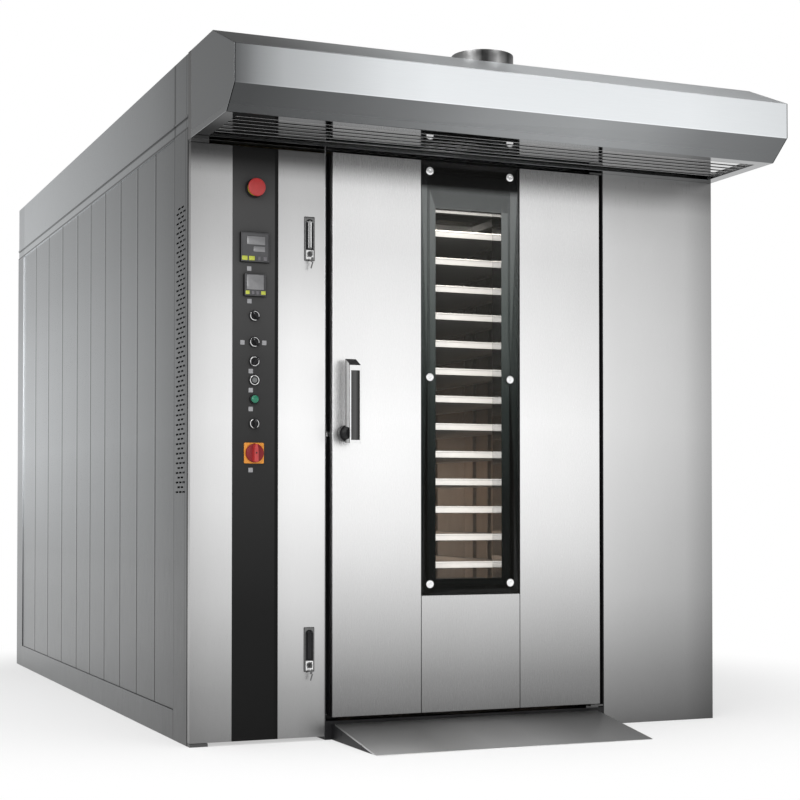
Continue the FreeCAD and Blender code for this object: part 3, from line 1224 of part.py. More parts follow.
def fan_motor():
    """Circulation fan's motor on its roof plate, with a terminal box and bored foot."""
    plate = box("fan_plate_blank", ("-190", "190"), ("fan_y - 190", "fan_y + 190"),
                ("body_height", "body_height + 10"))
    hole = rod("fan_plate_hole", "fan_shaft + run_clear", "40", "0", "fan_y", "body_height - 10")
    case = rod("fan_case", "95", "200", "0", "fan_y", "body_height + 10")
    seat = rod("fan_case_bore", "fan_shaft + run_clear", "100", "0", "fan_y", "body_height + 5")
    cover = rod("fan_cover", "88", "40", "0", "fan_y", "body_height + 210")
    terminals = box("fan_terminals", ("90", "150"), ("fan_y - 45", "fan_y + 45"),
                    ("body_height + 70", "body_height + 150"))
    node("fan_motor", [cut("fan_plate", plate, [hole]),
                       cut("fan_motor_case", together("fan_motor_blank", [case, cover, terminals]), [seat])])


def fan_impeller():
    """Backward-bladed wheel under the ceiling on a shaft from the roof motor."""
    low = "fan_top - fan_depth"
    back_disc = rod("impeller_disc", "fan_radius", "5", "0", "fan_y", "fan_top - 5")
    hub = rod("impeller_hub", "45", "fan_depth - 40", "0", "fan_y", f"{low} + 40")
    shaft = rod("impeller_shaft", "fan_shaft", "body_height + 80 - fan_top", "0", "fan_y", "fan_top")
    shroud = ring("impeller_shroud", "fan_radius", "fan_radius - 90", "4", "0", "fan_y", low)
    blades = []
    count = count_of("blade_count")
    for i in range(count):
        blade = doc.addObject("Part::Box", f"fan_blade_{i + 1}")
        tie(blade, "Length", "110")
        tie(blade, "Width", "5")
        tie(blade, "Height", "fan_depth - 9")
        angle = 360 * i / count
        direction = Rotation(Vector(0, 0, 1), angle)
        blade.Placement = Placement(Vector(), Rotation(Vector(0, 0, 1), angle + 30))
        start = direction.multVec(Vector(1, 0, 0))
        tie(blade, "Placement.Base.x", f"{start.x:.6f} * (fan_radius - 112)")
        tie(blade, "Placement.Base.y", f"fan_y + {start.y:.6f} * (fan_radius - 112)")
        tie(blade, "Placement.Base.z", f"{low} + 4")
        blades.append(blade)
    node("fan_impeller", [together("impeller", [back_disc, hub, shaft, shroud] + blades)])


def gearmotor():
    """Worm gearmotor on the roof: plate, bored gearbox and a lying motor."""
    top = "body_height"
    plate = box("drive_plate", ("-150", "150"), ("-150", "150"), (top, f"{top} + 12"))
    gears = box("gear_case", ("-75", "75"), ("-75", "75"), (f"{top} + 12", f"{top} + 160"))
    motor = rod("drive_motor", "65", "230", "75", "0", f"{top} + 90", "X")
    terminals = box("drive_terminals", ("130", "210"), ("-40", "40"), (f"{top} + 150", f"{top} + 190"))
    bore = rod("drive_bore", "shaft_radius + run_clear", "400", "0", "0", f"{top} - 100")
    unit = together("drive_unit", [plate, gears, motor, terminals])
    node("gearmotor", [cut("gear_drive", unit, [bore])])


def shaft_bearings():
    """Flanged bearing over the ceiling and the thrust bearing under the turntable."""
    upper = ring("upper_bearing_barrel", "45", "shaft_radius + run_clear", "50", "0", "0", "ceiling_top")
    flange = ring("upper_bearing_flange", "80", "shaft_radius + run_clear", "10", "0", "0", "ceiling_top")
    lower = rod("thrust_case", "bearing_radius", "floor_top - bearing_low", "0", "0", "bearing_low")
    bore = rod("thrust_bore", "hub_radius + run_clear", "100", "0", "0", "hub_low - seal_gap")
    node("shaft_bearings", [together("upper_bearing", [upper, flange]), cut("thrust_bearing", lower, [bore])])


def chamber_lamps():
    """A tall lamp behind glass on each front pillar."""
    members = []
    back = "front + sill_depth + pillar_depth + liner"
    for side, tag in ((-1, "left"), (1, "right")):
        mid = f"{side} * (doorway_half + 30)"
        members.append(box(f"lamp_base_{tag}", (f"{mid} - 22", f"{mid} + 22"), (back, f"{back} + 8"),
                           ("900", "1300")))
        members.append(rod(f"lamp_tube_{tag}", "9", "360", mid, f"{back} + 17", "920"))
    node("chamber_lamps", members)


def steam_generator():
    """Steel bars between two uprights in the rear duct, with a water pipe on top."""
    middle = "(chamber_back + duct_back) / 2"
    ys = (f"{middle} - 20", f"{middle} + 20")
    top = "steam_low + steam_bars * steam_pitch"
    members = [box(f"steam_upright_{tag}", xs, ys, ("floor_top + liner", top))
               for tag, xs in (("left", ("-steam_half - 6", "-steam_half")),
                               ("right", ("steam_half", "steam_half + 6")))]
    for i in range(count_of("steam_bars")):
        members.append(rod(f"steam_bar_{i + 1}", "steam_bar", "2 * steam_half", "-steam_half", middle,
                           f"steam_low + {i} * steam_pitch", "X"))
    members.append(rod("steam_water_pipe", "8", "2 * steam_half + 12", "-steam_half - 6", middle,
                       f"{top} + 8", "X"))
    node("steam_generator", members)


# ---------------------------------------------------------------- rack

def turntable():
    """Round floor plate on a hub, with two low bars that stop the casters."""
    disc = rod("turntable_disc", "turntable_radius", "turntable_thick", "0", "0", "turntable_low")
    hub = rod("turntable_hub", "hub_radius", "turntable_low - hub_low", "0", "0", "hub_low")
    stops = [box(f"caster_stop_{tag}", ("-tray_width / 2", "tray_width / 2"), ys,
                 ("turntable_top", "turntable_top + 12"))
             for tag, ys in (("front", ("-tray_length / 2 - 8", "-tray_length / 2")),
                             ("rear", ("tray_length / 2", "tray_length / 2 + 8")))]
    node("turntable", [together("turntable_plate", [disc, hub] + stops)])


def drive_shaft():
    """Shaft from the gearmotor with the crossbar that grips the top of the rack."""
    bar_low = "rack_top"
    shaft = rod("drive_shaft_rod", "shaft_radius", f"body_height + 150 - ({bar_low} + hanger_thick)",
                "0", "0", f"{bar_low} + hanger_thick")
    bar = box("hanger_bar", ("-post_out", "post_out"), ("-hanger_width / 2", "hanger_width / 2"),
              (bar_low, f"{bar_low} + hanger_thick"))
    boss = rod("hanger_boss", "shaft_radius + 14", "24", "0", "0", f"{bar_low} + hanger_thick")
    node("drive_shaft", [together("hanger", [shaft, bar, boss])])


def tray_floor(level):
    """Height of a tray's underside, counted down from the top one."""
    return f"(tray_top - tray_height - {level} * tray_pitch)"


def rack_frame():
    """Posts, top and bottom rings, tray rails and the caster forks with their axles."""
    inner = "(post_out - post_tube)"
    end = "(tray_length / 2)"
    heights = ("rack_bottom", "rack_top")
    members = []
    for sx, sy, tag in ((-1, -1, "front_left"), (1, -1, "front_right"),
                        (-1, 1, "rear_left"), (1, 1, "rear_right")):
        xs = ("-post_out", f"-{inner}") if sx < 0 else (inner, "post_out")
        ys = (f"-{end}", f"-{end} + post_tube") if sy < 0 else (f"{end} - post_tube", end)
        members.append(box(f"post_{tag}", xs, ys, heights))
    for tag, zs in (("top", ("rack_top - post_tube", "rack_top")),
                    ("bottom", ("rack_bottom", "rack_bottom + post_tube"))):
        for side, xs in (("left", ("-post_out", f"-{inner}")), ("right", (inner, "post_out"))):
            members.append(box(f"side_bar_{tag}_{side}", xs, (f"-{end} + post_tube", f"{end} - post_tube"), zs))
        for side, ys in (("front", (f"-{end}", f"-{end} + post_tube")), ("rear", (f"{end} - post_tube", end))):
            members.append(box(f"cross_bar_{tag}_{side}", (f"-{inner}", inner), ys, zs))
    members.append(box("lift_bar", (f"-{inner}", inner), ("-hanger_width / 2", "hanger_width / 2"),
                       ("rack_top - post_tube", "rack_top")))
    for level in range(count_of("tray_count")):
        floor = tray_floor(level)
        run = (f"-{end}", end)
        for side, tag in ((-1, "left"), (1, "right")):
            wall = "(tray_width / 2 + tray_clear)"
            if side < 0:
                ledge = (f"-({wall} + rail_sheet)", f"-{wall} + rail_ledge")
                lip = (f"-({wall} + rail_sheet)", f"-{wall}")
            else:
                ledge = (f"{wall} - rail_ledge", f"{wall} + rail_sheet")
                lip = (wall, f"{wall} + rail_sheet")
            name = f"rail_{tag}_{level + 1}"
            members.append(together(name, [
                box(f"{name}_ledge", ledge, run, (f"{floor} - rail_sheet", floor)),
                box(f"{name}_lip", lip, run, (floor, f"{floor} + rail_lip")),
            ]))
    for tag, x, y in caster_spots():
        members.append(caster_fork(tag, x, y))
    node("rack_frame", members)


def caster_spots():
    x, y = "(post_out - caster_inset)", "(tray_length / 2 - caster_inset)"
    return [("front_left", f"-{x}", f"-{y}"), ("front_right", x, f"-{y}"),
            ("rear_left", f"-{x}", y), ("rear_right", x, y)]


def caster_fork(tag, x, y):
    """Two cheeks under a plate, joined by the axle that its wheel turns on."""
    half = "(wheel_width / 2 + fork_gap)"
    cheeks = [box(f"cheek_{tag}_{side}", xs, (f"{y} - 20", f"{y} + 20"), ("wheel_z - 14", "rack_bottom - 4"))
              for side, xs in (("left", (f"{x} - {half} - fork_plate", f"{x} - {half}")),
                               ("right", (f"{x} + {half}", f"{x} + {half} + fork_plate")))]
    plate = box(f"fork_plate_{tag}", (f"{x} - 45", f"{x} + 75" if "left" not in tag else f"{x} + 45"),
                (f"{y} - 40", f"{y} + 75" if "rear" in tag else f"{y} + 40"),
                ("rack_bottom - 4", "rack_bottom"))
    axle = rod(f"axle_{tag}", "axle_radius", "wheel_width + 2 * fork_gap + 2 * fork_plate",
               f"{x} - {half} - fork_plate", y, "wheel_z", "X")
    return together(f"fork_{tag}", cheeks + [plate, axle])


def trays():
    """Folded aluminium trays, one on each pair of rails."""
    members = []
    half_w, half_l = "tray_width / 2", "tray_length / 2"
    for level in range(count_of("tray_count")):
        floor = tray_floor(level)
        pan = box(f"tray_blank_{level + 1}", (f"-{half_w}", half_w), (f"-{half_l}", half_l),
                  (floor, f"{floor} + tray_height"))
        hollow = box(f"tray_hollow_{level + 1}", (f"-{half_w} + tray_sheet", f"{half_w} - tray_sheet"),
                     (f"-{half_l} + tray_sheet", f"{half_l} - tray_sheet"),
                     (f"{floor} + tray_sheet", f"{floor} + tray_height + 5"))
        members.append(shell(f"tray_{level + 1}", pan, hollow))
    node("trays", members)


def wheels():
    """Four caster wheels, each bored for its axle."""
    for tag, x, y in caster_spots():
        tyre = rod(f"tyre_{tag}", "wheel_radius", "wheel_width", f"{x} - wheel_width / 2", y, "wheel_z", "X")
        bore = rod(f"wheel_bore_{tag}", "axle_radius + run_clear", "wheel_width + 20",
                   f"{x} - wheel_width / 2 - 10", y, "wheel_z", "X")
        node(f"wheel_{tag}", [cut(f"caster_wheel_{tag}", tyre, [bore])])


# ---------------------------------------------------------------- electrical parts

# Each row of devices: height of its rail, how many, and their width, height and depth.
DEVICE_ROWS = ((1500, 5, 45, 85, 80), (1250, 4, 60, 95, 90), (950, 7, 18, 80, 60), (600, 12, 10, 55, 40))


def electrical_chassis():
    """Mounting plate behind the service door with rails, contactors, breakers and terminals."""
    face = "chassis_face"
    plate = box("mounting_plate", (face, f"{face} + chassis_plate"),
                ("front + chassis_front", "front + chassis_back"), ("chassis_low", "chassis_high"))
    members = [plate]
    for row, (z, count, wide, tall, deep) in enumerate(DEVICE_ROWS, start=1):
        rail = (f"{face} - rail_deep", face)
        members.append(box(f"din_rail_{row}", rail, ("front + chassis_front + 20", "front + chassis_back - 20"),
                           (f"{z}", f"{z} + rail_tall")))
        for i in range(count):
            start = f"front + chassis_front + 30 + {i} * ({wide} + device_gap)"
            middle = f"{z} + rail_tall / 2"
            members.append(box(f"device_{row}_{i + 1}", (f"{face} - rail_deep - {deep}", f"{face} - rail_deep"),
                               (start, f"{start} + {wide}"),
                               (f"{middle} - {tall / 2}", f"{middle} + {tall / 2}")))
    for spot, z in (("low", "chassis_low"), ("high", "chassis_high - 20")):
        members.append(box(f"plate_stay_{spot}", (f"{face} + chassis_plate", "-wool_left"),
                           ("front + chassis_front + 80", "front + chassis_back - 60"), (z, f"{z} + 20")))
    node("electrical_chassis", members)


# ---------------------------------------------------------------- build and write

BUILDERS = [
    cabinet_frame, side_panels, side_trims, roof_and_rear, front_panels, door_frame, door_fittings,
    hood_shell, hood_grilles, duct_collars, damper_blade, ramp,
    door_panels, door_core, door_liner, door_gasket, window_panes, glass_border, glass_bolts,
    door_hardware, handle_lever, handle_insert,
    service_door, control_panel, panel_instruments, switch_bezels, yellow_backplates, estop_cap,
    selectors, buttons, isolator_knob, lock_housings, lock_levers, lock_keys,
    chamber_liner, air_ducts, insulation, heat_exchanger, burner, fan_motor, fan_impeller,
    gearmotor, shaft_bearings, chamber_lamps, steam_generator,
    turntable, drive_shaft, rack_frame, trays, wheels, electrical_chassis,
]


def failed(item):
    return bool({"Invalid", "Error"} & set(item.State))


def main():
    for build in BUILDERS:
        build()
    doc.recompute()
    broken = [item.Label for item in doc.Objects if failed(item)]
    if broken:
        raise RuntimeError("failed: " + ", ".join(broken))
    os.makedirs("parts", exist_ok=True)
    for item in NODES:
        shape = item.Shape
        if shape.isNull() or not shape.isValid() or not shape.Solids:
            raise RuntimeError(f"{item.Label}: bad shape")
        shape.exportStep(f"parts/{item.Label}.step")
    print(len(NODES), "sub-parts,", sum(len(item.Shape.Solids) for item in NODES), "solids")


main()
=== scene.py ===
import bmesh
import bpy
import math
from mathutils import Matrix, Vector


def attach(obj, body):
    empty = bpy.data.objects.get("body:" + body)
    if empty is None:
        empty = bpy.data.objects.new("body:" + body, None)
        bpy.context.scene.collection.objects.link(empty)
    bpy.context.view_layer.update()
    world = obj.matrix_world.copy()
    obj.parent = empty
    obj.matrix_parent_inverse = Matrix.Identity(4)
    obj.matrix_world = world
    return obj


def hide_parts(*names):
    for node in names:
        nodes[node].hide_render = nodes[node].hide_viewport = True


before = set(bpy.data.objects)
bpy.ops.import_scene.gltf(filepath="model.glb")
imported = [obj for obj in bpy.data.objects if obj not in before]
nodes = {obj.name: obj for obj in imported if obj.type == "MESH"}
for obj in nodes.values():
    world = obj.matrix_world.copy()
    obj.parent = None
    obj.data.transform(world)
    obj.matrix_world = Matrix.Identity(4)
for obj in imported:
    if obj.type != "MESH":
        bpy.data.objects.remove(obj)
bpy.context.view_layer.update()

# Where things stand, in metres. The front of the cabinet is the plane y = frontFace.
frontFace = -0.640
backFace = 2.460
leftEdge = -0.9595
rightEdge = 0.9705
stripFace = -0.641
controlX = -0.7505
lockX = -0.5625
doorFace = -0.670


# Outlines are (across, up) pairs that stand across an axis. Places along it are counted from the centre,
# so on the front they are negative towards the viewer.
def inSpace(centre, axis, across, up, along):
    x, y, z = centre
    if axis == "X":
        return Vector((x + along, y + across, z + up))
    if axis == "Y":
        return Vector((x + across, y + along, z + up))
    return Vector((x + across, y + up, z + along))


def roundOutline(radius, count=40):
    return [(radius * math.cos(2 * math.pi * i / count), radius * math.sin(2 * math.pi * i / count))
            for i in range(count)]


def plateOutline(width, height, corner=0.0, perCorner=4):
    corner = max(min(corner, width / 2 - 1e-5, height / 2 - 1e-5), 1e-6)
    points = []
    for quarter, (sx, sy) in enumerate(((1, 1), (-1, 1), (-1, -1), (1, -1))):
        cx, cy = sx * (width / 2 - corner), sy * (height / 2 - corner)
        for i in range(perCorner + 1):
            angle = math.pi / 2 * (quarter + i / perCorner)
            points.append((cx + corner * math.cos(angle), cy + corner * math.sin(angle)))
    return points


def moved(outline, across=0.0, up=0.0, turn=0.0):
    c, s = math.cos(turn), math.sin(turn)
    return [(a * c - b * s + across, a * s + b * c + up) for a, b in outline]


# Skin a row of outlines, each at its own place along the axis. A closed one joins its end to its start.
def skin(bm, sections, centre, axis="Y", closed=False, paint=0):
    rows = [[bm.verts.new(inSpace(centre, axis, a, b, along)) for a, b in outline]
            for outline, along in sections]
    count = len(rows[0])
    pairs = list(zip(rows, rows[1:])) + ([(rows[-1], rows[0])] if closed else [])
    faces = []
    for first, second in pairs:
        for i in range(count):
            j = (i + 1) % count
            faces.append(bm.faces.new((first[i], first[j], second[j], second[i])))
    if not closed:
        faces.append(bm.faces.new(rows[0][::-1]))
        faces.append(bm.faces.new(rows[-1]))
    for face in faces:
        face.material_index = paint
    return faces


def turned(bm, profile, centre, axis="Y", count=40, closed=False, paint=0):
    return skin(bm, [(roundOutline(max(r, 1e-5), count), along) for r, along in profile],
                centre, axis, closed, paint)


# A rounded plate whose steps are (inset, along) pairs from its first face to its last.
def stepped(bm, width, height, corner, steps, centre, axis="Y", closed=False, paint=0):
    sections = [(plateOutline(width - 2 * inset, height - 2 * inset, max(corner - inset, 0.0)), along)
                for inset, along in steps]
    return skin(bm, sections, centre, axis, closed, paint)


def block(bm, low, high, edge=0.001, paint=0):
    centre = [(a + b) / 2 for a, b in zip(low, high)]
    size = [b - a for a, b in zip(low, high)]
    edge = min(edge, min(size) / 3)
    steps = [(edge, 0), (edge * 0.3, edge * 0.3), (0, edge),
             (0, size[1] - edge), (edge * 0.3, size[1] - edge * 0.3), (edge, size[1])]
    return stepped(bm, size[0], size[2], edge, steps, (centre[0], low[1], centre[2]), "Y", paint=paint)


def piece(bm, name, materials, body, stands=(), soft=35):
    bmesh.ops.remove_doubles(bm, verts=bm.verts, dist=1e-6)
    bmesh.ops.dissolve_degenerate(bm, edges=bm.edges, dist=1e-7)
    bmesh.ops.recalc_face_normals(bm, faces=bm.faces)
    mesh = bpy.data.meshes.new(name)
    bm.to_mesh(mesh)
    bm.free()
    for face in mesh.polygons:
        face.use_smooth = True
    mesh.set_sharp_from_angle(angle=math.radians(soft))
    made = bpy.data.objects.new(name, mesh)
    bpy.context.scene.collection.objects.link(made)
    for material in materials if isinstance(materials, (list, tuple)) else [materials]:
        mesh.materials.append(material)
    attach(made, body)
    if stands:
        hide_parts(*stands)
    return made


def roundEdges(made, width, segments, angle=30, harden=True):
    rounded = made.modifiers.new("rounded edges", "BEVEL")
    rounded.width = width
    rounded.segments = segments
    rounded.limit_method = "ANGLE"
    rounded.angle_limit = math.radians(angle)
    rounded.harden_normals = harden


# A bench for joining nodes. Finishes, the floor and the sky are all made on one.
class NodeBench:
    def __init__(self, tree):
        self.tree = tree

    def add(self, kind, **values):
        node = self.tree.nodes.new(kind)
        for key, value in values.items():
            if key in node.inputs:
                node.inputs[key].default_value = value
            else:
                setattr(node, key, value)
        return node

    def link(self, start, end):
        self.tree.links.new(start, end)

    def spread(self, value, low, high, fromLow=0.3, fromHigh=0.7):
        node = self.add("ShaderNodeMapRange")
        ends = {"From Min": fromLow, "From Max": fromHigh, "To Min": low, "To Max": high}
        for key, number in ends.items():
            node.inputs[key].default_value = number
        self.link(value, node.inputs["Value"])
        return node.outputs["Result"]

    def ramp(self, value, stops):
        node = self.add("ShaderNodeValToRGB")
        line = node.color_ramp
        while len(line.elements) < len(stops):
            line.elements.new(0.5)
        for element, (position, colour) in zip(line.elements, stops):
            element.position = position
            element.color = (*colour, 1.0)
        self.link(value, node.inputs["Fac"])
        return node.outputs["Color"]

    def times(self, first, second):
        node = self.add("ShaderNodeMix", data_type="RGBA", blend_type="MULTIPLY")
        node.inputs[0].default_value = 1.0
        self.link(first, node.inputs[6])
        self.link(second, node.inputs[7])
        return node.outputs[2]

    def blend(self, share, first, second):
        node = self.add("ShaderNodeMix", data_type="RGBA")
        self.link(share, node.inputs[0])
        self.link(first, node.inputs[6])
        self.link(second, node.inputs[7])
        return node.outputs[2]

    def grey(self, value):
        node = self.add("ShaderNodeCombineColor")
        for i in range(3):
            self.link(value, node.inputs[i])
        return node.outputs["Color"]

    def mixed(self, share, first, second):
        node = self.add("ShaderNodeMixShader")
        for i, output in enumerate((share, first, second)):
            self.link(output, node.inputs[i])
        return node.outputs["Shader"]


# A finish is a material whose nodes read the surface's own coordinates.
class Finish(NodeBench):
    def __init__(self, name):
        self.material = bpy.data.materials.new(name)
        self.material.use_nodes = True
        super().__init__(self.material.node_tree)
        self.shader = self.tree.nodes["Principled BSDF"]
        self.coords = self.add("ShaderNodeTexCoord").outputs["Object"]

    def put(self, **values):
        for key, value in values.items():
            self.shader.inputs[key.replace("_", " ")].default_value = value
        return self

    def noise(self, stretch, detail=3.0, roughness=0.6):
        mapping = self.add("ShaderNodeMapping", Scale=stretch)
        self.link(self.coords, mapping.inputs["Vector"])
        texture = self.add("ShaderNodeTexNoise", Scale=1.0, Detail=detail, Roughness=roughness)
        self.link(mapping.outputs["Vector"], texture.inputs["Vector"])
        return texture.outputs["Fac"]

    def part(self, axis):
        node = self.add("ShaderNodeSeparateXYZ")
        self.link(self.coords, node.inputs["Vector"])
        return node.outputs[axis]

    # how far along an axis a point lies, from 0 at low to 1 at high
    def place(self, axis, low, high):
        return self.spread(self.part(axis), 0.0, 1.0, low, high)

    # the same, begun again at every pitch
    def steps(self, axis, start, pitch):
        count = self.add("ShaderNodeMath", operation="MULTIPLY_ADD")
        count.inputs[1].default_value = 1 / pitch
        count.inputs[2].default_value = -start / pitch
        rest = self.add("ShaderNodeMath", operation="FRACT")
        self.link(self.part(axis), count.inputs[0])
        self.link(count.outputs["Value"], rest.inputs[0])
        return rest.outputs["Value"]

    def colour(self, output):
        self.link(output, self.shader.inputs["Base Color"])
        return self

    def rough(self, output):
        self.link(output, self.shader.inputs["Roughness"])
        return self

    def bump(self, height, strength=0.1, distance=0.0005):
        node = self.add("ShaderNodeBump", Strength=strength, Distance=distance)
        self.link(height, node.inputs["Height"])
        self.link(node.outputs["Normal"], self.shader.inputs["Normal"])
        return self


def greys(*stops):
    return [(position, (value, value, value)) for position, value in stops]


def cool(*stops):
    return [(position, (value * 0.95, value * 0.98, value)) for position, value in stops]


# Brushed sheet: fine lines along one axis, a slow cloud of wear, and tones that change along the sheet and
# across it; on the cabinet, door, duct, ramp, chamber, tray, grille and handle sheets these tones are painted
# light and shade.
def brushed(name, axis, low, high, stops, across=None, lines=(1400, 1400, 14), rough=(0.26, 0.40),
            streak=0.05, metal=1.0):
    finish = Finish(name).put(Metallic=metal)
    fine = finish.noise(lines, 4.0)
    cloud = finish.noise((2.3, 2.3, 1.1), 3.0)
    tone = finish.ramp(finish.place(axis, low, high), stops)
    if across:
        tone = finish.times(tone, finish.ramp(finish.place(*across[:3]), across[3]))
    tone = finish.times(tone, finish.grey(finish.spread(fine, 1 - streak, 1.0)))
    tone = finish.times(tone, finish.grey(finish.spread(cloud, 0.95, 1.0)))
    finish.colour(tone)
    finish.rough(finish.spread(fine, rough[0], rough[1]))
    finish.bump(fine, 0.05, 0.0002)
    return finish.material


def moulded(name, colour, rough=(0.35, 0.5), grain=1800, bump=0.12, mottle=0.12, coat=0.0, shine=0.5):
    finish = Finish(name).put(Coat_Weight=coat, Specular_IOR_Level=shine)
    fine = finish.noise((grain, grain, grain), 3.0)
    cloud = finish.noise((24, 24, 24), 3.0)
    pale = [min(c * (1 + mottle) + 0.002, 1.0) for c in colour]
    deep = [c * (1 - mottle) for c in colour]
    finish.colour(finish.ramp(finish.spread(cloud, 0.0, 1.0), [(0.0, deep), (1.0, pale)]))
    finish.rough(finish.spread(fine, rough[0], rough[1]))
    finish.bump(fine, bump, 0.0002)
    return finish.material


def plated(name, tone=0.82, rough=(0.06, 0.16)):
    finish = Finish(name).put(Metallic=1.0)
    fine = finish.noise((300, 300, 300), 4.0)
    finish.colour(finish.ramp(finish.spread(fine, 0.0, 1.0), greys((0.0, tone * 0.93), (1.0, tone))))
    finish.rough(finish.spread(fine, rough[0], rough[1]))
    finish.bump(fine, 0.02, 0.0001)
    return finish.material


# A solid that keeps its own shape gets its finish here, and fine rounded edges that catch the light.
def dress(material, *names, edge=0.0007):
    for name in names:
        made = nodes[name]
        for slot in made.material_slots:
            slot.material = material
        if edge:
            weld = made.modifiers.new("joined points", "WELD")
            weld.merge_threshold = 0.00001
            roundEdges(made, edge, 2, angle=40)


print("finishes")
# Painted light and shade for the sheets, as brightness along their height and across their width: door, leaf
# and front are dark under the hood, palest at mid height and darker at the foot; the sides, the hood's faces,
# the duct collars and the ramp each carry their own painted light; the chamber wall's brown is painted pale
# at mid height and dark low and high.
sheetLightAndShade = dict(
    door=greys((0.0, 0.14), (0.095, 0.29), (0.165, 0.47), (0.226, 0.62), (0.30, 0.79), (0.357, 0.88),
               (0.44, 0.96), (0.52, 1.0), (0.60, 0.95), (0.684, 0.91), (0.80, 0.84), (0.86, 0.87),
               (0.90, 0.84), (0.92, 0.62), (0.937, 0.35), (0.955, 0.25)),
    doorAcross=greys((0.0, 0.74), (0.18, 0.94), (0.32, 1.0), (0.50, 0.98), (0.678, 0.91), (0.75, 0.86),
                     (1.0, 0.8)),
    leaf=greys((0.0, 0.28), (0.08, 0.39), (0.15, 0.54), (0.229, 0.70), (0.30, 0.79), (0.388, 0.91),
               (0.514, 1.0), (0.641, 0.93), (0.704, 0.85), (0.768, 0.72), (0.824, 0.65), (0.872, 0.60),
               (0.905, 0.62), (0.92, 0.50), (0.937, 0.20), (0.945, 0.14), (1.0, 0.10)),
    leafAcross=greys((0.0, 0.70), (0.036, 0.80), (0.179, 0.99), (1.0, 1.0)),
    front=greys((0.0, 0.22), (0.09, 0.385), (0.165, 0.56), (0.229, 0.70), (0.30, 0.78), (0.388, 0.865),
                (0.52, 0.97), (0.60, 0.98), (0.70, 0.96), (0.83, 0.90), (0.90, 0.80), (0.937, 0.45),
                (1.0, 0.40)),
    frontAcross=greys((0.0, 0.48), (0.02, 0.50), (0.04, 0.74), (0.32, 1.0), (0.50, 1.0), (0.68, 0.90),
                      (0.80, 0.76), (0.94, 0.62), (1.0, 0.40)),
    side=cool((0.0, 0.17), (0.057, 0.227), (0.114, 0.25), (0.18, 0.31), (0.26, 0.44), (0.355, 0.74),
              (0.455, 0.95), (0.568, 0.96), (0.68, 0.89), (0.773, 0.78), (0.864, 0.73), (0.887, 0.73),
              (0.892, 1.0), (1.0, 0.98)),
    sideAcross=greys((0.0, 0.26), (0.054, 0.30), (0.162, 0.44), (0.413, 0.65), (0.82, 0.92), (0.95, 0.96),
                     (0.96, 0.85), (1.0, 0.85)),
    hoodUnder=cool((0.0, 0.080), (0.03, 0.082), (0.10, 0.105), (0.18, 0.135), (0.30, 0.205), (0.43, 0.30),
                   (0.51, 0.335), (0.62, 0.36), (0.72, 0.32), (0.84, 0.21), (1.0, 0.16)),
    hoodLip=cool((0.0, 0.13), (0.02, 0.22), (0.04, 0.34), (0.08, 0.52), (0.13, 0.62), (0.18, 0.72),
                 (0.25, 0.90), (0.33, 1.0), (0.80, 1.0), (1.0, 0.86)),
    hoodTop=cool((0.0, 0.05), (0.05, 0.07), (0.10, 0.14), (0.18, 0.31), (0.25, 0.46), (0.33, 0.68),
                 (0.45, 0.66), (0.50, 0.95), (0.62, 1.0), (0.80, 1.0), (1.0, 0.80)),
    duct=greys((0.0, 0.40), (0.08, 0.55), (0.14, 0.58), (0.21, 0.13), (0.284, 0.02), (0.363, 0.045),
               (0.448, 0.19), (0.54, 0.46), (0.64, 0.23), (0.75, 0.06), (0.895, 0.36), (1.0, 0.40)),
    ramp=greys((0.0, 0.97), (0.15, 0.97), (0.5, 0.86), (1.0, 0.66)),
    rampAcross=greys((0.0, 0.62), (0.25, 0.72), (0.42, 1.0), (0.6, 1.0), (0.8, 0.72), (1.0, 0.62)),
    chamber=[(0.0, (0.10, 0.092, 0.085)), (0.22, (0.62, 0.52, 0.44)), (0.45, (0.66, 0.52, 0.41)),
             (0.58, (0.16, 0.10, 0.065)), (0.75, (0.045, 0.024, 0.015)), (1.0, (0.025, 0.016, 0.011))],
)
wide = ("X", leftEdge, rightEdge)
# The cabinet, door, duct, ramp and chamber sheets below take the painted light and shade of these lists.
frontSteel = brushed("front steel", "Z", 0.0, 2.0, sheetLightAndShade["front"], (*wide, sheetLightAndShade["frontAcross"]))
doorSteel = brushed("door steel", "Z", 0.0, 2.0, sheetLightAndShade["door"], (*wide, sheetLightAndShade["doorAcross"]),
                    rough=(0.22, 0.34))
leafSteel = brushed("service door steel", "Z", 0.0, 2.0, sheetLightAndShade["leaf"],
                    (*wide, sheetLightAndShade["leafAcross"]))
ductSteel = brushed("duct sheet", "X", -0.0975, 0.1085, sheetLightAndShade["duct"], lines=(30, 30, 30),
                    rough=(0.3, 0.4), streak=0.08)
rampSteel = brushed("ramp steel", "Y", -1.06, -0.66, sheetLightAndShade["ramp"],
                    ("X", -0.483, 0.483, sheetLightAndShade["rampAcross"]), lines=(900, 14, 900), rough=(0.3, 0.45))
innerSteel = brushed("chamber steel", "Z", 0.05, 1.9, sheetLightAndShade["chamber"], lines=(40, 40, 8),
                     rough=(0.4, 0.55), streak=0.15, metal=0.15)
frameSteel = moulded("frame paint", (0.30, 0.31, 0.33), rough=(0.45, 0.6), grain=900)
rackSteel = brushed("rack steel", "Z", 0.1, 1.85, greys((0.0, 0.36), (1.0, 0.48)), lines=(200, 200, 30))
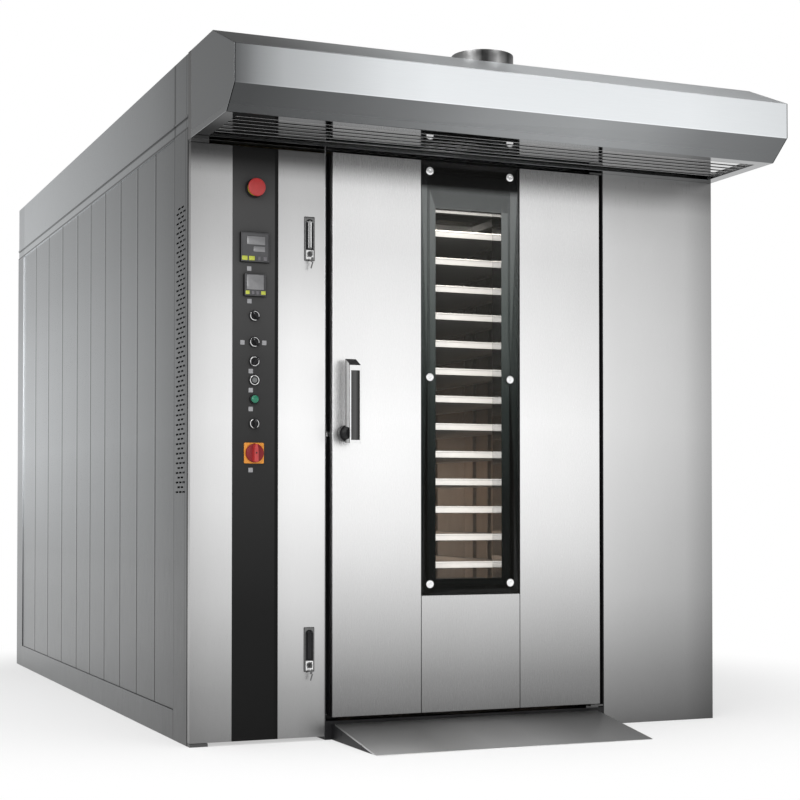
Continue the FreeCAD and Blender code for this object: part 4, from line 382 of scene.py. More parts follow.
# Painted light and shade along the trays: brighter towards the left, darker in the middle and at the right
# end.
trayLightAndShade = greys((0.0, 0.56), (0.35, 0.54), (0.5, 0.42), (0.6, 0.50), (1.0, 0.42))
trayMetal = brushed("tray sheet", "X", -0.31, 0.31, trayLightAndShade, lines=(60, 60, 60), rough=(0.28, 0.42),
                    streak=0.08)
brightSteel = plated("bright steel", 0.62, (0.15, 0.3))
darkFitting = plated("dark fitting", 0.10, (0.3, 0.42))
revealSteel = plated("window reveal steel", 0.60, (0.03, 0.06))
# The hood grilles are painted brighter in the middle than at their ends: painted light.
grilleSteel = brushed("grille steel", "X", leftEdge, rightEdge, greys((0.0, 0.42), (0.5, 0.66), (1.0, 0.60)),
                      lines=(12, 900, 900), rough=(0.04, 0.09))
blackPaint = moulded("black powder coat", (0.012, 0.012, 0.013), rough=(0.35, 0.5), grain=2600, bump=0.2,
                     shine=0.2)
blackPlastic = moulded("black plastic", (0.010, 0.010, 0.011), rough=(0.3, 0.42), shine=0.18)
greyPlastic = moulded("grey plastic", (0.13, 0.135, 0.135), rough=(0.35, 0.5))
redPlastic = moulded("red plastic", (0.40, 0.022, 0.022), rough=(0.3, 0.42), coat=0.1)
yellowPlastic = moulded("yellow plastic", (0.66, 0.25, 0.02), rough=(0.3, 0.45))
# The e-stop collar takes a darker copy of the yellow: painted shade cast by the red head.
shadedCollarYellow = moulded("collar yellow", (0.34, 0.27, 0.03), rough=(0.3, 0.45))
# The isolator's dial and bar are one red: the dial takes a darker copy as painted shade, the bar a paler copy
# as painted light.
shadedKnobRed = moulded("isolator red", (0.20, 0.008, 0.012), rough=(0.28, 0.4), shine=0.3)
litBarRed = moulded("isolator bar red", (0.42, 0.03, 0.03), rough=(0.25, 0.35), coat=0.2)
ringChrome = plated("ring chrome", 0.93, (0.24, 0.36))
greenLens = moulded("green lens", (0.001, 0.16, 0.085), rough=(0.14, 0.24), coat=0.3)
wheelResin = moulded("wheel resin", (0.06, 0.028, 0.02), rough=(0.5, 0.65), grain=600)
sealRubber = moulded("seal rubber", (0.02, 0.02, 0.02), rough=(0.55, 0.7), grain=1200)
burnerBlue = moulded("burner paint", (0.02, 0.07, 0.20), rough=(0.25, 0.4), coat=0.3)
motorGrey = moulded("motor paint", (0.10, 0.115, 0.13), rough=(0.35, 0.5), coat=0.2)
scaledSteel = moulded("scaled steel", (0.06, 0.05, 0.045), rough=(0.6, 0.8), grain=160, bump=0.4, mottle=0.4)


sideFolds = dict(joints=((-0.441, 0.256), (1.095, 0.3065)), change=(1.030, 1.031), top=2.2,
                 post=(-0.607, -0.429), band=(1.935, 2.023))
# Dark joint lines, widened with painted shade, and painted highlights on the lit lips beside them.
foldLinesAndHighlights = dict(
    joint=greys((0.0, 0.42), (0.022, 0.42), (0.034, 1.12), (0.075, 1.12), (0.10, 1.0), (0.955, 1.0),
                (0.972, 0.50), (1.0, 0.42)),
    post=greys((0.0, 0.14), (0.038, 0.14), (0.050, 1.0), (0.134, 1.0), (0.143, 0.45), (0.167, 0.45),
               (0.177, 1.0), (0.879, 1.0), (0.907, 0.40), (0.994, 0.40), (1.0, 1.0)),
    band=greys((0.0, 1.0), (0.24, 1.0), (0.26, 0.35), (0.34, 0.35), (0.36, 1.0), (0.62, 1.0), (0.64, 0.35),
               (0.70, 0.35), (0.72, 1.0), (1.0, 1.0)),
)


# The side sheets carry a dark joint at every fold, widened with painted shade, and a painted highlight on the
# lit lip of the next panel beside it; the trims carry dark lines at the post's seams and the ledge's edges.
# All are painted in light and shade along their height and depth.
def panelSteel(name, jointed):
    finish = Finish(name).put(Metallic=1.0)
    fine = finish.noise((900, 900, 10), 4.0)
    # painted light and shade along the side's height and depth
    tone = finish.ramp(finish.place("Z", 0.0, sideFolds["top"]), sheetLightAndShade["side"])
    tone = finish.times(tone, finish.ramp(finish.place("Y", frontFace, backFace), sheetLightAndShade["sideAcross"]))
    tone = finish.times(tone, finish.grey(finish.spread(fine, 0.96, 1.0)))
    if jointed:
        jointsAndHighlights = [finish.ramp(finish.steps("Y", *row), foldLinesAndHighlights["joint"]) for row in sideFolds["joints"]]
        tone = finish.times(tone, finish.blend(finish.place("Y", *sideFolds["change"]), *jointsAndHighlights))
    else:
        tone = finish.times(tone, finish.ramp(finish.place("Y", *sideFolds["post"]), foldLinesAndHighlights["post"]))
        tone = finish.times(tone, finish.ramp(finish.place("Z", *sideFolds["band"]), foldLinesAndHighlights["band"]))
    finish.colour(tone)
    finish.rough(finish.spread(fine, 0.26, 0.40))
    finish.bump(fine, 0.05, 0.0002)
    return finish.material


hoodFolds = dict(lip=(1.9885, 1.9895), slope=(2.1035, 2.1045), polish=(1.936, 1.940), caps=(1.9, 2.2),
                 cap=0.01)


# One folded sheet gives the hood its sloped top, upright lip and sloped underside, each painted in its own
# light and shade.
def hoodSheet():
    finish = Finish("hood steel").put(Metallic=1.0)
    fine = finish.noise((12, 1200, 1200), 4.0)
    across = finish.place("X", leftEdge, rightEdge)
    tone = finish.ramp(across, sheetLightAndShade["hoodUnder"])
    for fold, tones in (("lip", "hoodLip"), ("slope", "hoodTop")):
        share = finish.place("Z", *hoodFolds[fold])
        tone = finish.blend(share, tone, finish.ramp(across, sheetLightAndShade[tones]))
    # the end caps are painted a darker shade than the lip, with a dark joint line at their seam
    paintedCapShade = finish.ramp(finish.place("Z", *hoodFolds["caps"]), cool((0.0, 0.26), (1.0, 0.29)))
    for edge, inward in ((leftEdge, 1), (rightEdge, -1)):
        depth = finish.place("X", edge, edge + inward * hoodFolds["cap"])
        cap = finish.ramp(depth, greys((0.0, 1.0), (0.08, 1.0), (0.11, 0.0)))
        joint = finish.ramp(depth, greys((0.0, 1.0), (0.08, 1.0), (0.11, 0.12), (0.36, 0.12), (0.42, 1.0)))
        tone = finish.times(finish.blend(cap, tone, paintedCapShade), joint)
    finish.colour(finish.times(tone, finish.grey(finish.spread(fine, 0.96, 1.0))))
    finish.rough(finish.spread(finish.place("Z", *hoodFolds["polish"]), 0.07, 0.30, 0.0, 1.0))
    finish.bump(fine, 0.04, 0.0002)
    return finish.material


def woolSlabs():
    finish = Finish("mineral wool").put(Sheen_Weight=0.3)
    fibre = finish.noise((90, 260, 420), 6.0, 0.75)
    clump = finish.noise((14, 14, 14), 4.0)
    tone = finish.ramp(finish.spread(fibre, 0.0, 1.0), [(0.0, (0.22, 0.16, 0.06)), (1.0, (0.62, 0.52, 0.26))])
    # painted shade: the wool is darkened to near black towards the front
    tone = finish.times(tone, finish.ramp(finish.place("Y", -0.55, -0.45), greys((0.0, 0.04), (1.0, 1.0))))
    finish.colour(finish.times(tone, finish.grey(finish.spread(clump, 0.75, 1.0))))
    finish.rough(finish.spread(fibre, 0.85, 1.0))
    finish.bump(fibre, 0.6, 0.002)
    return finish.material


def paneGlass(name, tint, alpha):
    finish = Finish(name).put(Alpha=alpha, Specular_IOR_Level=0.2)
    wipe = finish.noise((5, 5, 3), 4.0)
    finish.colour(finish.ramp(finish.spread(wipe, 0.0, 1.0),
                              [(0.0, tuple(c * 0.92 for c in tint)), (1.0, tint)]))
    finish.rough(finish.spread(wipe, 0.02, 0.06))
    return finish.material


def enamelBorder():
    finish = Finish("enamelled glass border").put(Specular_IOR_Level=0.02)
    fine = finish.noise((700, 700, 700), 3.0)
    # The enamel is near black low down; the grey rising towards the top is a painted reflection, and the
    # near-black band at the very top a painted reflection of the hood's dark underside.
    tone = finish.ramp(finish.place("Z", 0.46, 1.91), [
        (0.0, (0.001, 0.0015, 0.0015)), (0.22, (0.004, 0.006, 0.006)), (0.44, (0.024, 0.031, 0.029)),
        (0.67, (0.115, 0.131, 0.125)), (0.90, (0.235, 0.247, 0.244)), (0.930, (0.245, 0.257, 0.254)),
        (0.945, (0.006, 0.006, 0.007)), (1.0, (0.002, 0.002, 0.0025))])
    finish.colour(finish.times(tone, finish.grey(finish.spread(fine, 0.94, 1.0))))
    finish.rough(finish.spread(fine, 0.06, 0.12))
    return finish.material


def panelBlack():
    finish = Finish("control strip black").put(Specular_IOR_Level=0.15)
    fine = finish.noise((1500, 1500, 1500), 3.0)
    # Painted light and shade on the black strip: near black low down, palest high up, darker again in the
    # shadow under the hood.
    paintedShadeFall = greys((0.0, 0.002), (0.2, 0.006), (0.42, 0.020), (0.62, 0.040), (0.78, 0.066), (0.90, 0.066),
                 (0.955, 0.045), (0.985, 0.008), (1.0, 0.004))
    tone = finish.ramp(finish.place("Z", 0.05, 1.9), paintedShadeFall)
    # the strip is painted darker along its right fold: painted shade
    fold = finish.ramp(finish.place("X", -0.682, -0.679), greys((0.0, 1.0), (1.0, 0.12)))
    tone = finish.times(tone, fold)
    finish.colour(finish.times(tone, finish.grey(finish.spread(fine, 0.88, 1.0))))
    finish.rough(finish.spread(fine, 0.28, 0.4))
    finish.bump(fine, 0.08, 0.0001)
    return finish.material


clearPane = paneGlass("window pane", (0.10, 0.10, 0.09), 0.06)
lampGlass = paneGlass("lamp glass", (0.92, 0.86, 0.70), 0.6)
borderGlass = enamelBorder()
stripBlack = panelBlack()
woolFinish = woolSlabs()
sideSteel = panelSteel("side steel", True)
trimSteel = panelSteel("side trim steel", False)
hoodSteel = hoodSheet()

dress(frontSteel, "front_panels")
dress(doorSteel, "door_panels", edge=0.0012)
dress(leafSteel, "service_door", edge=0.0014)
dress(revealSteel, "door_liner")
dress(hoodSteel, "hood_shell", edge=0.0018)
dress(grilleSteel, "hood_grilles")
dress(sideSteel, "side_panels")
dress(trimSteel, "side_trims", "roof_and_rear")
dress(frameSteel, "cabinet_frame", "electrical_chassis")
dress(blackPaint, "door_frame", "door_core", "door_hardware")
dress(darkFitting, "door_fittings")
dress(brightSteel, "shaft_bearings", "drive_shaft")
dress(ductSteel, "duct_collars", "damper_blade")
dress(innerSteel, "chamber_liner", "air_ducts")
dress(woolFinish, "insulation", edge=0.003)
dress(scaledSteel, "heat_exchanger", "steam_generator")
dress(rackSteel, "fan_impeller", "rack_frame", "turntable")
dress(lampGlass, "chamber_lamps")
dress(sealRubber, "door_gasket")
dress(clearPane, "window_panes")
dress(borderGlass, "glass_border")
dress(stripBlack, "control_panel")


print("controls")
emergencyStop = dict(height=1.775, face=-0.033, radius=0.029, stem=0.0145)


def emergencyButton():
    v = emergencyStop
    centre = (controlX, stripFace, v["height"])
    bm = bmesh.new()
    r, f = v["radius"], v["face"]
    turned(bm, [(0.0, f), (r - 0.004, f), (r - 0.0016, f + 0.0006), (r - 0.0004, f + 0.0020), (r, f + 0.0038),
                (r - 0.0006, f + 0.0058), (r - 0.0055, f + 0.0150), (r - 0.0095, f + 0.0205),
                (v["stem"] + 0.0012, f + 0.0232), (v["stem"], f + 0.0245), (v["stem"], 0.02), (0.0, 0.02)],
           centre, count=64)
    piece(bm, "emergencyButton", redPlastic, "emergency_stop", ["estop_cap"])
    bm = bmesh.new()
    # The outer black ring stands for the shadow the red head casts on the collar: painted shade; the yellow
    # ring inside it takes the shaded copy of the yellow.
    turned(bm, [(0.0240, 0.0), (0.0306, 0.0), (0.0310, -0.0006), (0.0310, -0.006), (0.0304, -0.007),
                (0.0290, -0.0074), (0.0248, -0.007), (0.0240, -0.006)], centre, count=64, closed=True,
           paint=1)
    turned(bm, [(0.0160, -0.0002), (0.0238, -0.0002), (0.0238, -0.0115), (0.0232, -0.0126), (0.0222, -0.013),
                (0.0160, -0.013)], centre, count=64, closed=True)
    piece(bm, "emergencyCollar", [shadedCollarYellow, blackPlastic], "service_door", ["yellow_backplates"])


mainSwitch = dict(height=0.927, plate=0.066, radius=0.030, ridge=0.0145, dial=-0.0153, grip=-0.031)


def isolatorSwitch():
    v = mainSwitch
    z = v["height"]
    bm = bmesh.new()
    steps = [(0, -0.0002), (0, -0.003), (0.0008, -0.004), (0.0016, -0.0043)]
    stepped(bm, v["plate"], v["plate"], 0.0035, steps, (controlX, stripFace, z))
    turned(bm, [(0.0155, -0.004), (0.0322, -0.004), (0.0322, -0.0058), (0.0314, -0.0068), (0.0155, -0.0068)],
           (controlX, stripFace, z), count=64, closed=True)
    piece(bm, "isolatorPlate", yellowPlastic, "service_door", ["yellow_backplates"])
    bm = bmesh.new()
    r = v["radius"]
    turned(bm, [(0.0, 0.015), (0.009, 0.015), (0.009, -0.0072), (r - 0.0012, -0.0072), (r, -0.0082),
                (r, -0.0118), (r - 0.0010, -0.014), (r - 0.0032, v["dial"]), (0.0, v["dial"])],
           (controlX, stripFace, z), count=72)
    # the bar across the dial narrows towards its pointer and leans in at its sides
    rows = []
    for along, grow in ((v["dial"] + 0.001, 1.28), (-0.019, 1.12), (-0.028, 1.0), (v["grip"] + 0.0006, 0.93),
                        (v["grip"], 0.80)):
        half = v["ridge"] / 2 * grow
        reach = (r - 0.0012) * min(1.0, 0.94 + 0.05 * grow)
        outline = [(half, -reach * 0.93), (half * 0.6, -reach), (-half * 0.6, -reach), (-half, -reach * 0.93),
                   (-half * 1.02, reach * 0.25), (-half * 0.62, reach * 0.88), (-half * 0.3, reach),
                   (half * 0.3, reach), (half * 0.62, reach * 0.88), (half * 1.02, reach * 0.25)]
        rows.append((outline, along))
    skin(bm, rows, (controlX, stripFace, z), paint=2)
    turned(bm, [(0.0, v["grip"] + 0.001), (0.0026, v["grip"] + 0.001), (0.0026, v["grip"] - 0.0002),
                (0.0020, v["grip"] - 0.0004), (0.0, v["grip"] - 0.0001)], (controlX, stripFace, z),
           count=20, paint=1)
    # the dial takes the shaded red and the bar the lit red: painted shade and painted light
    piece(bm, "isolatorKnob", [shadedKnobRed, blackPlastic, litBarRed], "isolator", ["isolator_knob"])


selectorSwitches = dict(heights=dict(a=1.366, b=1.282, c=1.220, d=1.021), turns=dict(a=-45, b=-45, c=45, d=0),
                        ring=(0.0124, 0.0152), grip=0.0090, reach=0.0150, front=-0.025)


def ringBezel(bm, z, inner, outer, front=-0.0102, bore=0.0112):
    centre = (controlX, stripFace, z)
    skirt = outer + 0.0023
    turned(bm, [(bore, -0.0002), (skirt, -0.0002), (skirt, -0.0044), (skirt - 0.0008, -0.0052),
                (outer, -0.0055), (bore, -0.0055)], centre, count=48, closed=True, paint=1)
    turned(bm, [(inner, -0.0053), (outer - 0.0004, -0.0053), (outer, -0.006),
                (outer - 0.0002, front + 0.0006), (outer - 0.0010, front), (inner + 0.0008, front),
                (inner, front + 0.0008)], centre, count=48, closed=True)


def selectorKnobs():
    v = selectorSwitches
    for letter, z in v["heights"].items():
        bm = bmesh.new()
        ringBezel(bm, z, *v["ring"])
        piece(bm, f"selectorRing_{letter}", [ringChrome, blackPlastic], "service_door", ["switch_bezels"])
        turn = -math.radians(v["turns"][letter])
        bm = bmesh.new()
        turned(bm, [(0.0, 0.015), (0.009, 0.015), (0.009, -0.008), (0.0118, -0.008), (0.0120, -0.009),
                    (0.0120, -0.0122), (0.0112, -0.0133), (0.0, -0.0133)], (controlX, stripFace, z), count=40)
        rows = []
        for along, grow, reach in ((-0.0125, 1.25, 1.0), (-0.015, 1.06, 1.0), (-0.023, 0.92, 0.985),
                                   (-0.0246, 0.80, 0.965), (v["front"], 0.55, 0.93)):
            outline = plateOutline(v["grip"] * grow, 2 * v["reach"] * reach, 0.0028 * grow, 5)
            rows.append((moved(outline, turn=turn), along))
        skin(bm, rows, (controlX, stripFace, z))
        mark = moved(moved(plateOutline(0.0010, 0.0060, 0.0003, 2), up=0.0095), turn=turn)
        skin(bm, [(mark, -0.0245), (mark, -0.0252)], (controlX, stripFace, z), paint=1)
        piece(bm, f"selectorKnob_{letter}", [blackPlastic, legendGrey], f"selector_{letter}",
              [f"selector_{letter}_knob"])


pushButtons = dict(grey=1.160, green=1.099)


def buttonCaps():
    z = pushButtons["grey"]
    bm = bmesh.new()
    ringBezel(bm, z, 0.0130, 0.0156, bore=0.0103)
    piece(bm, "greyButtonRing", [ringChrome, blackPlastic], "service_door", ["switch_bezels"])
    bm = bmesh.new()
    turned(bm, [(0.0, 0.019), (0.0088, 0.019), (0.0088, -0.0078), (0.0088, -0.01), (0.0080, -0.0106),
                (0.0066, -0.0103), (0.0, -0.01)], (controlX, stripFace, z), count=44)
    turned(bm, [(0.0088, -0.002), (0.0101, -0.002), (0.0101, -0.0098), (0.0098, -0.0103), (0.0091, -0.0103),
                (0.0088, -0.0098)], (controlX, stripFace, z), count=44, closed=True, paint=1)
    piece(bm, "greyButton", [greyPlastic, blackPlastic], "grey_push", ["grey_button"])
    z = pushButtons["green"]
    bm = bmesh.new()
    turned(bm, [(0.0112, -0.0002), (0.0157, -0.0002), (0.0157, -0.0052), (0.0149, -0.007), (0.0130, -0.0076),
                (0.0112, -0.007)], (controlX, stripFace, z), count=48, closed=True)
    piece(bm, "greenButtonRing", blackPlastic, "service_door", ["switch_bezels"])
    bm = bmesh.new()
    arc = [math.pi / 2 * i / 8 for i in range(9)]
    dome = [(0.0125 * math.cos(angle), -0.0135 - 0.0044 * math.sin(angle)) for angle in arc]
    turned(bm, [(0.0, 0.019), (0.009, 0.019), (0.009, -0.0103), (0.0122, -0.0106), (0.0125, -0.0112)] + dome,
           (controlX, stripFace, z), count=48)
    piece(bm, "greenButton", greenLens, "green_push", ["green_button"])


legendSquares = dict(size=0.0145, spots=((-0.767, 1.517), (-0.766, 1.413), (-0.789, 1.280), (-0.716, 1.281),
                                         (-0.761, 1.189), (-0.761, 1.128), (-0.761, 1.068), (-0.761, 0.873)))


def legendPlates():
    bm = bmesh.new()
    for x, z in legendSquares["spots"]:
        side = legendSquares["size"]
        stepped(bm, side, side, 0.0012, [(0, 0.0002), (0, -0.0006), (0.0004, -0.0009)], (x, stripFace, z))
    piece(bm, "legendPlates", legendGrey, "service_door", [])


# Windows are (left, right, top, bottom) as shares of the face; keys are (left, right, lime or not) in a row.
instruments = dict(
    controller=dict(height=1.585, size=0.097, windows=((0.21, 0.84, 0.14, 0.42), (0.44, 0.84, 0.47, 0.65)),
                    keys=((0.04, 0.23, 1), (0.28, 0.48, 1), (0.60, 0.68, 0), (0.78, 0.90, 0)),
                    row=(0.80, 0.94)),
    timer=dict(height=1.464, size=0.073, windows=((0.11, 0.89, 0.06, 0.71),),
               keys=((0.06, 0.24, 1), (0.34, 0.46, 0), (0.55, 0.67, 0), (0.77, 0.97, 1)), row=(0.76, 0.92)),
)


def panelInstrument(name, v):
    size, z = v["size"], v["height"]
    centre = (controlX, stripFace, z)
    bm = bmesh.new()
    rim = 0.0042
    case = lambda inset, corner: plateOutline(size - 2 * inset, size - 2 * inset, corner)
    skin(bm, [(case(0.003, 0.003), 0.0498), (case(0.003, 0.003), -0.0002), (case(0.0, 0.004), -0.0002),
              (case(0.0, 0.004), -0.0118), (case(0.0008, 0.0034), -0.0135), (case(0.0017, 0.003), -0.0140),
              (case(rim, 0.0022), -0.0140), (case(rim + 0.0006, 0.002), -0.0128)], centre)

    def spot(left, right, top, bottom):
        across, up = (left + right) / 2 - 0.5, 0.5 - (top + bottom) / 2
        return (controlX + across * size, stripFace, z + up * size)

    for left, right, top, bottom in v["windows"]:
        width, height = (right - left) * size, (bottom - top) * size
        place = spot(left, right, top, bottom)
        surround = [(0, -0.0126), (0, -0.0132), (0.0005, -0.0135)]
        stepped(bm, width + 0.0014, height + 0.0014, 0.0014, surround, place)
        window = [(0, -0.0133), (0, -0.0136), (0.0003, -0.0138)]
        stepped(bm, width - 0.0004, height - 0.0004, 0.001, window, place, paint=1)
    top, bottom = v["row"]
    for left, right, lit in v["keys"]:
        key = [(0, -0.0126), (0, -0.0141), (0.0006, -0.0148), (0.0014, -0.0151)]
        stepped(bm, (right - left) * size, (bottom - top) * size, 0.0016, key, spot(left, right, top, bottom),
                paint=2 if lit else 3)
    # The case's front faces take a paler copy of its black: painted light.
    bm.normal_update()
    for face in bm.faces:
        inFront = face.calc_center_median().y < stripFace - 0.0126
        if face.material_index == 0 and inFront and abs(face.normal.y) > 0.9:
            face.material_index = 4
    piece(bm, name + "Unit", [instrumentBlack, displayGrey, keyLime, keyGrey, litFaceGrey], "service_door",
          ["panel_instruments"])


legendGrey = moulded("legend grey", (0.30, 0.30, 0.31), rough=(0.4, 0.5))
instrumentBlack = moulded("instrument black", (0.006, 0.006, 0.006), rough=(0.3, 0.4), shine=0.2)
litFaceGrey = moulded("instrument face", (0.075, 0.075, 0.078), rough=(0.3, 0.4), shine=0.3)
displayGrey = moulded("display window", (0.20, 0.20, 0.205), rough=(0.12, 0.2), grain=400, bump=0.02,
                      coat=0.3)
keyLime = moulded("lime keys", (0.46, 0.50, 0.06), rough=(0.35, 0.5))
keyGrey = moulded("plain keys", (0.12, 0.115, 0.125), rough=(0.35, 0.5))
emergencyButton()
isolatorSwitch()
selectorKnobs()
buttonCaps()
legendPlates()
for name, values in instruments.items():
    panelInstrument(name, values)


print("locks")
panelLocks = dict(heights=dict(upper=1.625, lower=0.295), flange=(0.034, 0.142), recess=0.0265, lever=0.0135,
                  seat=0.0026, barrel=-0.050)


def archOutline(width, low, high, foot=0.0015, perCorner=6):
    half = width / 2
    points = []
    for cx, cy, corner, quarter in ((0.0, high - half, half, 0), (0.0, high - half, half, 1),
                                    (-half + foot, low + foot, foot, 2), (half - foot, low + foot, foot, 3)):
        for i in range(perCorner + 1):
            angle = math.pi / 2 * (quarter + i / perCorner)
            points.append((cx + corner * math.cos(angle), cy + corner * math.sin(angle)))
    return points


def lockHousing(name, z):
    v = panelLocks
    width, height = v["flange"]
    wide = v["recess"]
    low, high = -0.0345, 0.0635
    centre = (lockX, frontFace, z)
    bm = bmesh.new()
    outer = lambda inset: plateOutline(width - 2 * inset, height - 2 * inset, max(0.003 - inset, 0.0005), 6)
    inner = lambda inset: archOutline(wide + 2 * inset, low - inset, high + inset)
    body = plateOutline(0.028, height - 0.014, 0.002, 6)
    skin(bm, [(body, 0.019), (body, -0.0002), (outer(0), -0.0002), (outer(0), -0.0028),
              (outer(0.0006), -0.0037), (outer(0.0014), -0.004), (inner(0.0012), -0.004),
              (inner(0.0003), -0.0036), (inner(0), -v["seat"])], centre)
    # the pocket behind the lever is black: painted shade in the recess
    skin(bm, [(inner(0), -v["seat"]), (inner(-0.0004), 0.01)], centre, paint=1)
    lids = [face for face in bm.faces if len(face.verts) > 20
            and abs(face.calc_center_median().y - frontFace + v["seat"]) < 0.0001]
    bmesh.ops.delete(bm, geom=lids, context="FACES_ONLY")
    stepped(bm, 0.025, 0.030, 0.002, [(0, -0.0038), (0, -0.0052), (0.0007, -0.0059)],
            (lockX, frontFace, z + v["barrel"] - 0.002), paint=2)
    turned(bm, [(0.0, -0.0055), (0.0098, -0.0055), (0.0098, -0.0064), (0.0090, -0.0072), (0.0078, -0.0072),
                (0.0074, -0.0066), (0.0, -0.0066)], (lockX, frontFace, z + v["barrel"]), count=40)
    slash = moved(plateOutline(0.0028, 0.015, 0.0008, 2), turn=math.radians(-40))
    for across, up in ((-0.0034, -0.0042), (0.0034, 0.0036)):
        skin(bm, [(slash, -0.0064), (slash, -0.00685)], (lockX + across, frontFace, z + v["barrel"] + up),
             paint=1)
    # a black plate a little larger than the flange lies under it and stands for the shadow gap round it:
    # painted shade
    stepped(bm, width + 0.0018, height + 0.0018, 0.0028, [(0, -0.0004), (0, -0.0018)], centre, paint=1)
    piece(bm, name, [flangeChrome, blackPaint, brightFlat], "service_door", ["lock_housings"])


def lockLever(name, z, material, body, node):
    bm = bmesh.new()
    wide = panelLocks["lever"]
    low, high = -0.032, 0.060
    shape = lambda inset: archOutline(wide - 2 * inset, low + inset, high - inset)
    skin(bm, [(shape(0.0008), 0.0014), (shape(0), 0.0006), (shape(0), -0.0056), (shape(0.0008), -0.0068),
              (shape(0.0022), -0.0074), (shape(0.0036), -0.0068), (shape(0.0046), -0.0064)],
         (lockX, frontFace, z))
    turned(bm, [(0.0, -0.0112), (0.0028, -0.0112), (0.0028, 0.0112), (0.0, 0.0112)],
           (lockX, frontFace - 0.003, z + 0.0555), axis="X", count=16)
    piece(bm, name, material, body, [node])


def lockKey(name, z, body, node):
    bm = bmesh.new()
    high = z + panelLocks["barrel"]
    turned(bm, [(0.0, 0.018), (0.0066, 0.018), (0.0066, -0.0074), (0.0060, -0.008), (0.0, -0.008)],
           (lockX, frontFace, high), count=32)
    block(bm, (lockX - 0.0011, frontFace - 0.0160, high - 0.0036),
          (lockX + 0.0011, frontFace - 0.0078, high + 0.0036), 0.0004)
    # the head is a ring of flat stock, and a spare key hangs from it
    turned(bm, [(0.0038, -0.0010), (0.0088, -0.0010), (0.0090, -0.0006), (0.0090, 0.0006), (0.0088, 0.0010),
                (0.0038, 0.0010)], (lockX, frontFace - 0.0212, high), axis="X", count=36, closed=True)
    lean = math.radians(-17)
    spare = [(moved(plateOutline(0.0075, 0.016, 0.0030, 4), up=-0.020, turn=lean), along)
             for along in (-0.0222, -0.0206)]
    skin(bm, spare, (lockX + 0.001, frontFace, high))
    blade = [(moved(plateOutline(0.0042, 0.022, 0.0008, 2), up=-0.038, turn=lean), along)
             for along in (-0.022, -0.0208)]
    skin(bm, blade, (lockX + 0.001, frontFace, high))
    piece(bm, name, darkSteel, body, [node])


satinChrome = plated("satin chrome", 0.30, (0.22, 0.34))
flangeChrome = plated("flange chrome", 0.16, (0.22, 0.34))
brightFlat = plated("bright flat", 0.93, (0.30, 0.42))
darkSteel = plated("key steel", 0.14, (0.25, 0.4))
for side, z in panelLocks["heights"].items():
    lockHousing(f"lockHousing_{side}", z)
    lockLever(f"lockLever_{side}", z, satinChrome if side == "upper" else blackPaint, f"lever_{side}",
              f"lock_lever_{side}")
    lockKey(f"lockKey_{side}", z, f"key_{side}", f"lock_key_{side}")


print("door fittings")
doorHandle = dict(left=-0.461, width=0.038, low=0.960, high=1.211, slant=0.023, front=-0.745, back=-0.700,
                  margin=0.0042, foot=0.010, head=0.017, axis=(-0.450, 0.993), neck=0.0235)


def handleBar():
    v = doorHandle
    bm = bmesh.new()
    side = [(v["front"] + 0.0022, v["low"]), (v["back"], v["low"] + 0.002),
            (v["back"], v["high"] + v["slant"]), (v["front"] + 0.0022, v["high"] + 0.0012)]
    skin(bm, [(side, v["left"] + 0.0004), (side, v["left"] + v["width"] - 0.0004)], (0.0, 0.0, 0.0), axis="X")
    bmesh.ops.recalc_face_normals(bm, faces=bm.faces)
    for face in bm.faces:
        if abs(face.normal.x) > 0.9 or face.normal.y > 0.9:
            face.material_index = 1 if face.normal.y > 0.9 else 2
    x, z = v["axis"]
    neck = v["neck"]
    turned(bm, [(0.0, -0.0245), (neck + 0.001, -0.0245), (neck, -0.0265), (neck - 0.001, -0.0500),
                (neck - 0.003, -0.0675), (neck - 0.004, -0.0685), (0.0, -0.0685)], (x, doorFace, z), count=56)
    turned(bm, [(0.0, 0.0570), (0.006, 0.0570), (0.006, -0.0260), (0.0, -0.0260)], (x, doorFace, z), count=24,
           paint=1)
    # the latch cam stands on the spindle's inner end
    block(bm, (x - 0.049, doorFace + 0.050, z - 0.008), (x + 0.012, doorFace + 0.058, z + 0.008), 0.001,
          paint=1)
    made = piece(bm, "handleBar", [handleBlack, brightSteel, barSteel], "handle", ["handle_lever"])
    roundEdges(made, 0.0012, 3)


# A bright frame runs round the front of the bar and holds the black insert.
def handleFrame():
    v = doorHandle
    bm = bmesh.new()
    middle = (v["left"] + v["width"] / 2, 0.0, (v["low"] + v["high"]) / 2)
    width, height = v["width"], v["high"] - v["low"]
    lift = (v["foot"] - v["head"]) / 2
    clear = (width - 2 * v["margin"], height - v["foot"] - v["head"])
    inner = lambda inset: moved(plateOutline(clear[0] - 2 * inset, clear[1] - 2 * inset, 0.001), up=lift)
    outer = lambda inset: plateOutline(width - 2 * inset, height - 2 * inset, 0.0014)
    front, behind = v["front"], v["front"] + 0.0028
    skin(bm, [(outer(0.0), behind), (outer(0.0), front + 0.0006), (outer(0.0006), front),
              (inner(-0.0005), front), (inner(0.0), front + 0.0005), (inner(0.0), behind)], middle,
         closed=True)
    piece(bm, "handleFrame", brightFlat, "handle", ["handle_lever"])
    bm = bmesh.new()
    inset = moved(plateOutline(clear[0] - 0.0002, clear[1] - 0.0002, 0.001), up=lift)
    skin(bm, [(inset, v["front"] + 0.003), (inset, v["front"] + 0.0012),
              (moved([(a * 0.6, b * 0.985) for a, b in inset]), v["front"] + 0.0006)], middle)
    piece(bm, "handleInsert", insertBlack, "handle", ["handle_insert"])


glassBolts = dict(across=(-0.151, 0.145), heights=(1.872, 1.186, 0.500), radius=0.0135, face=-0.007)


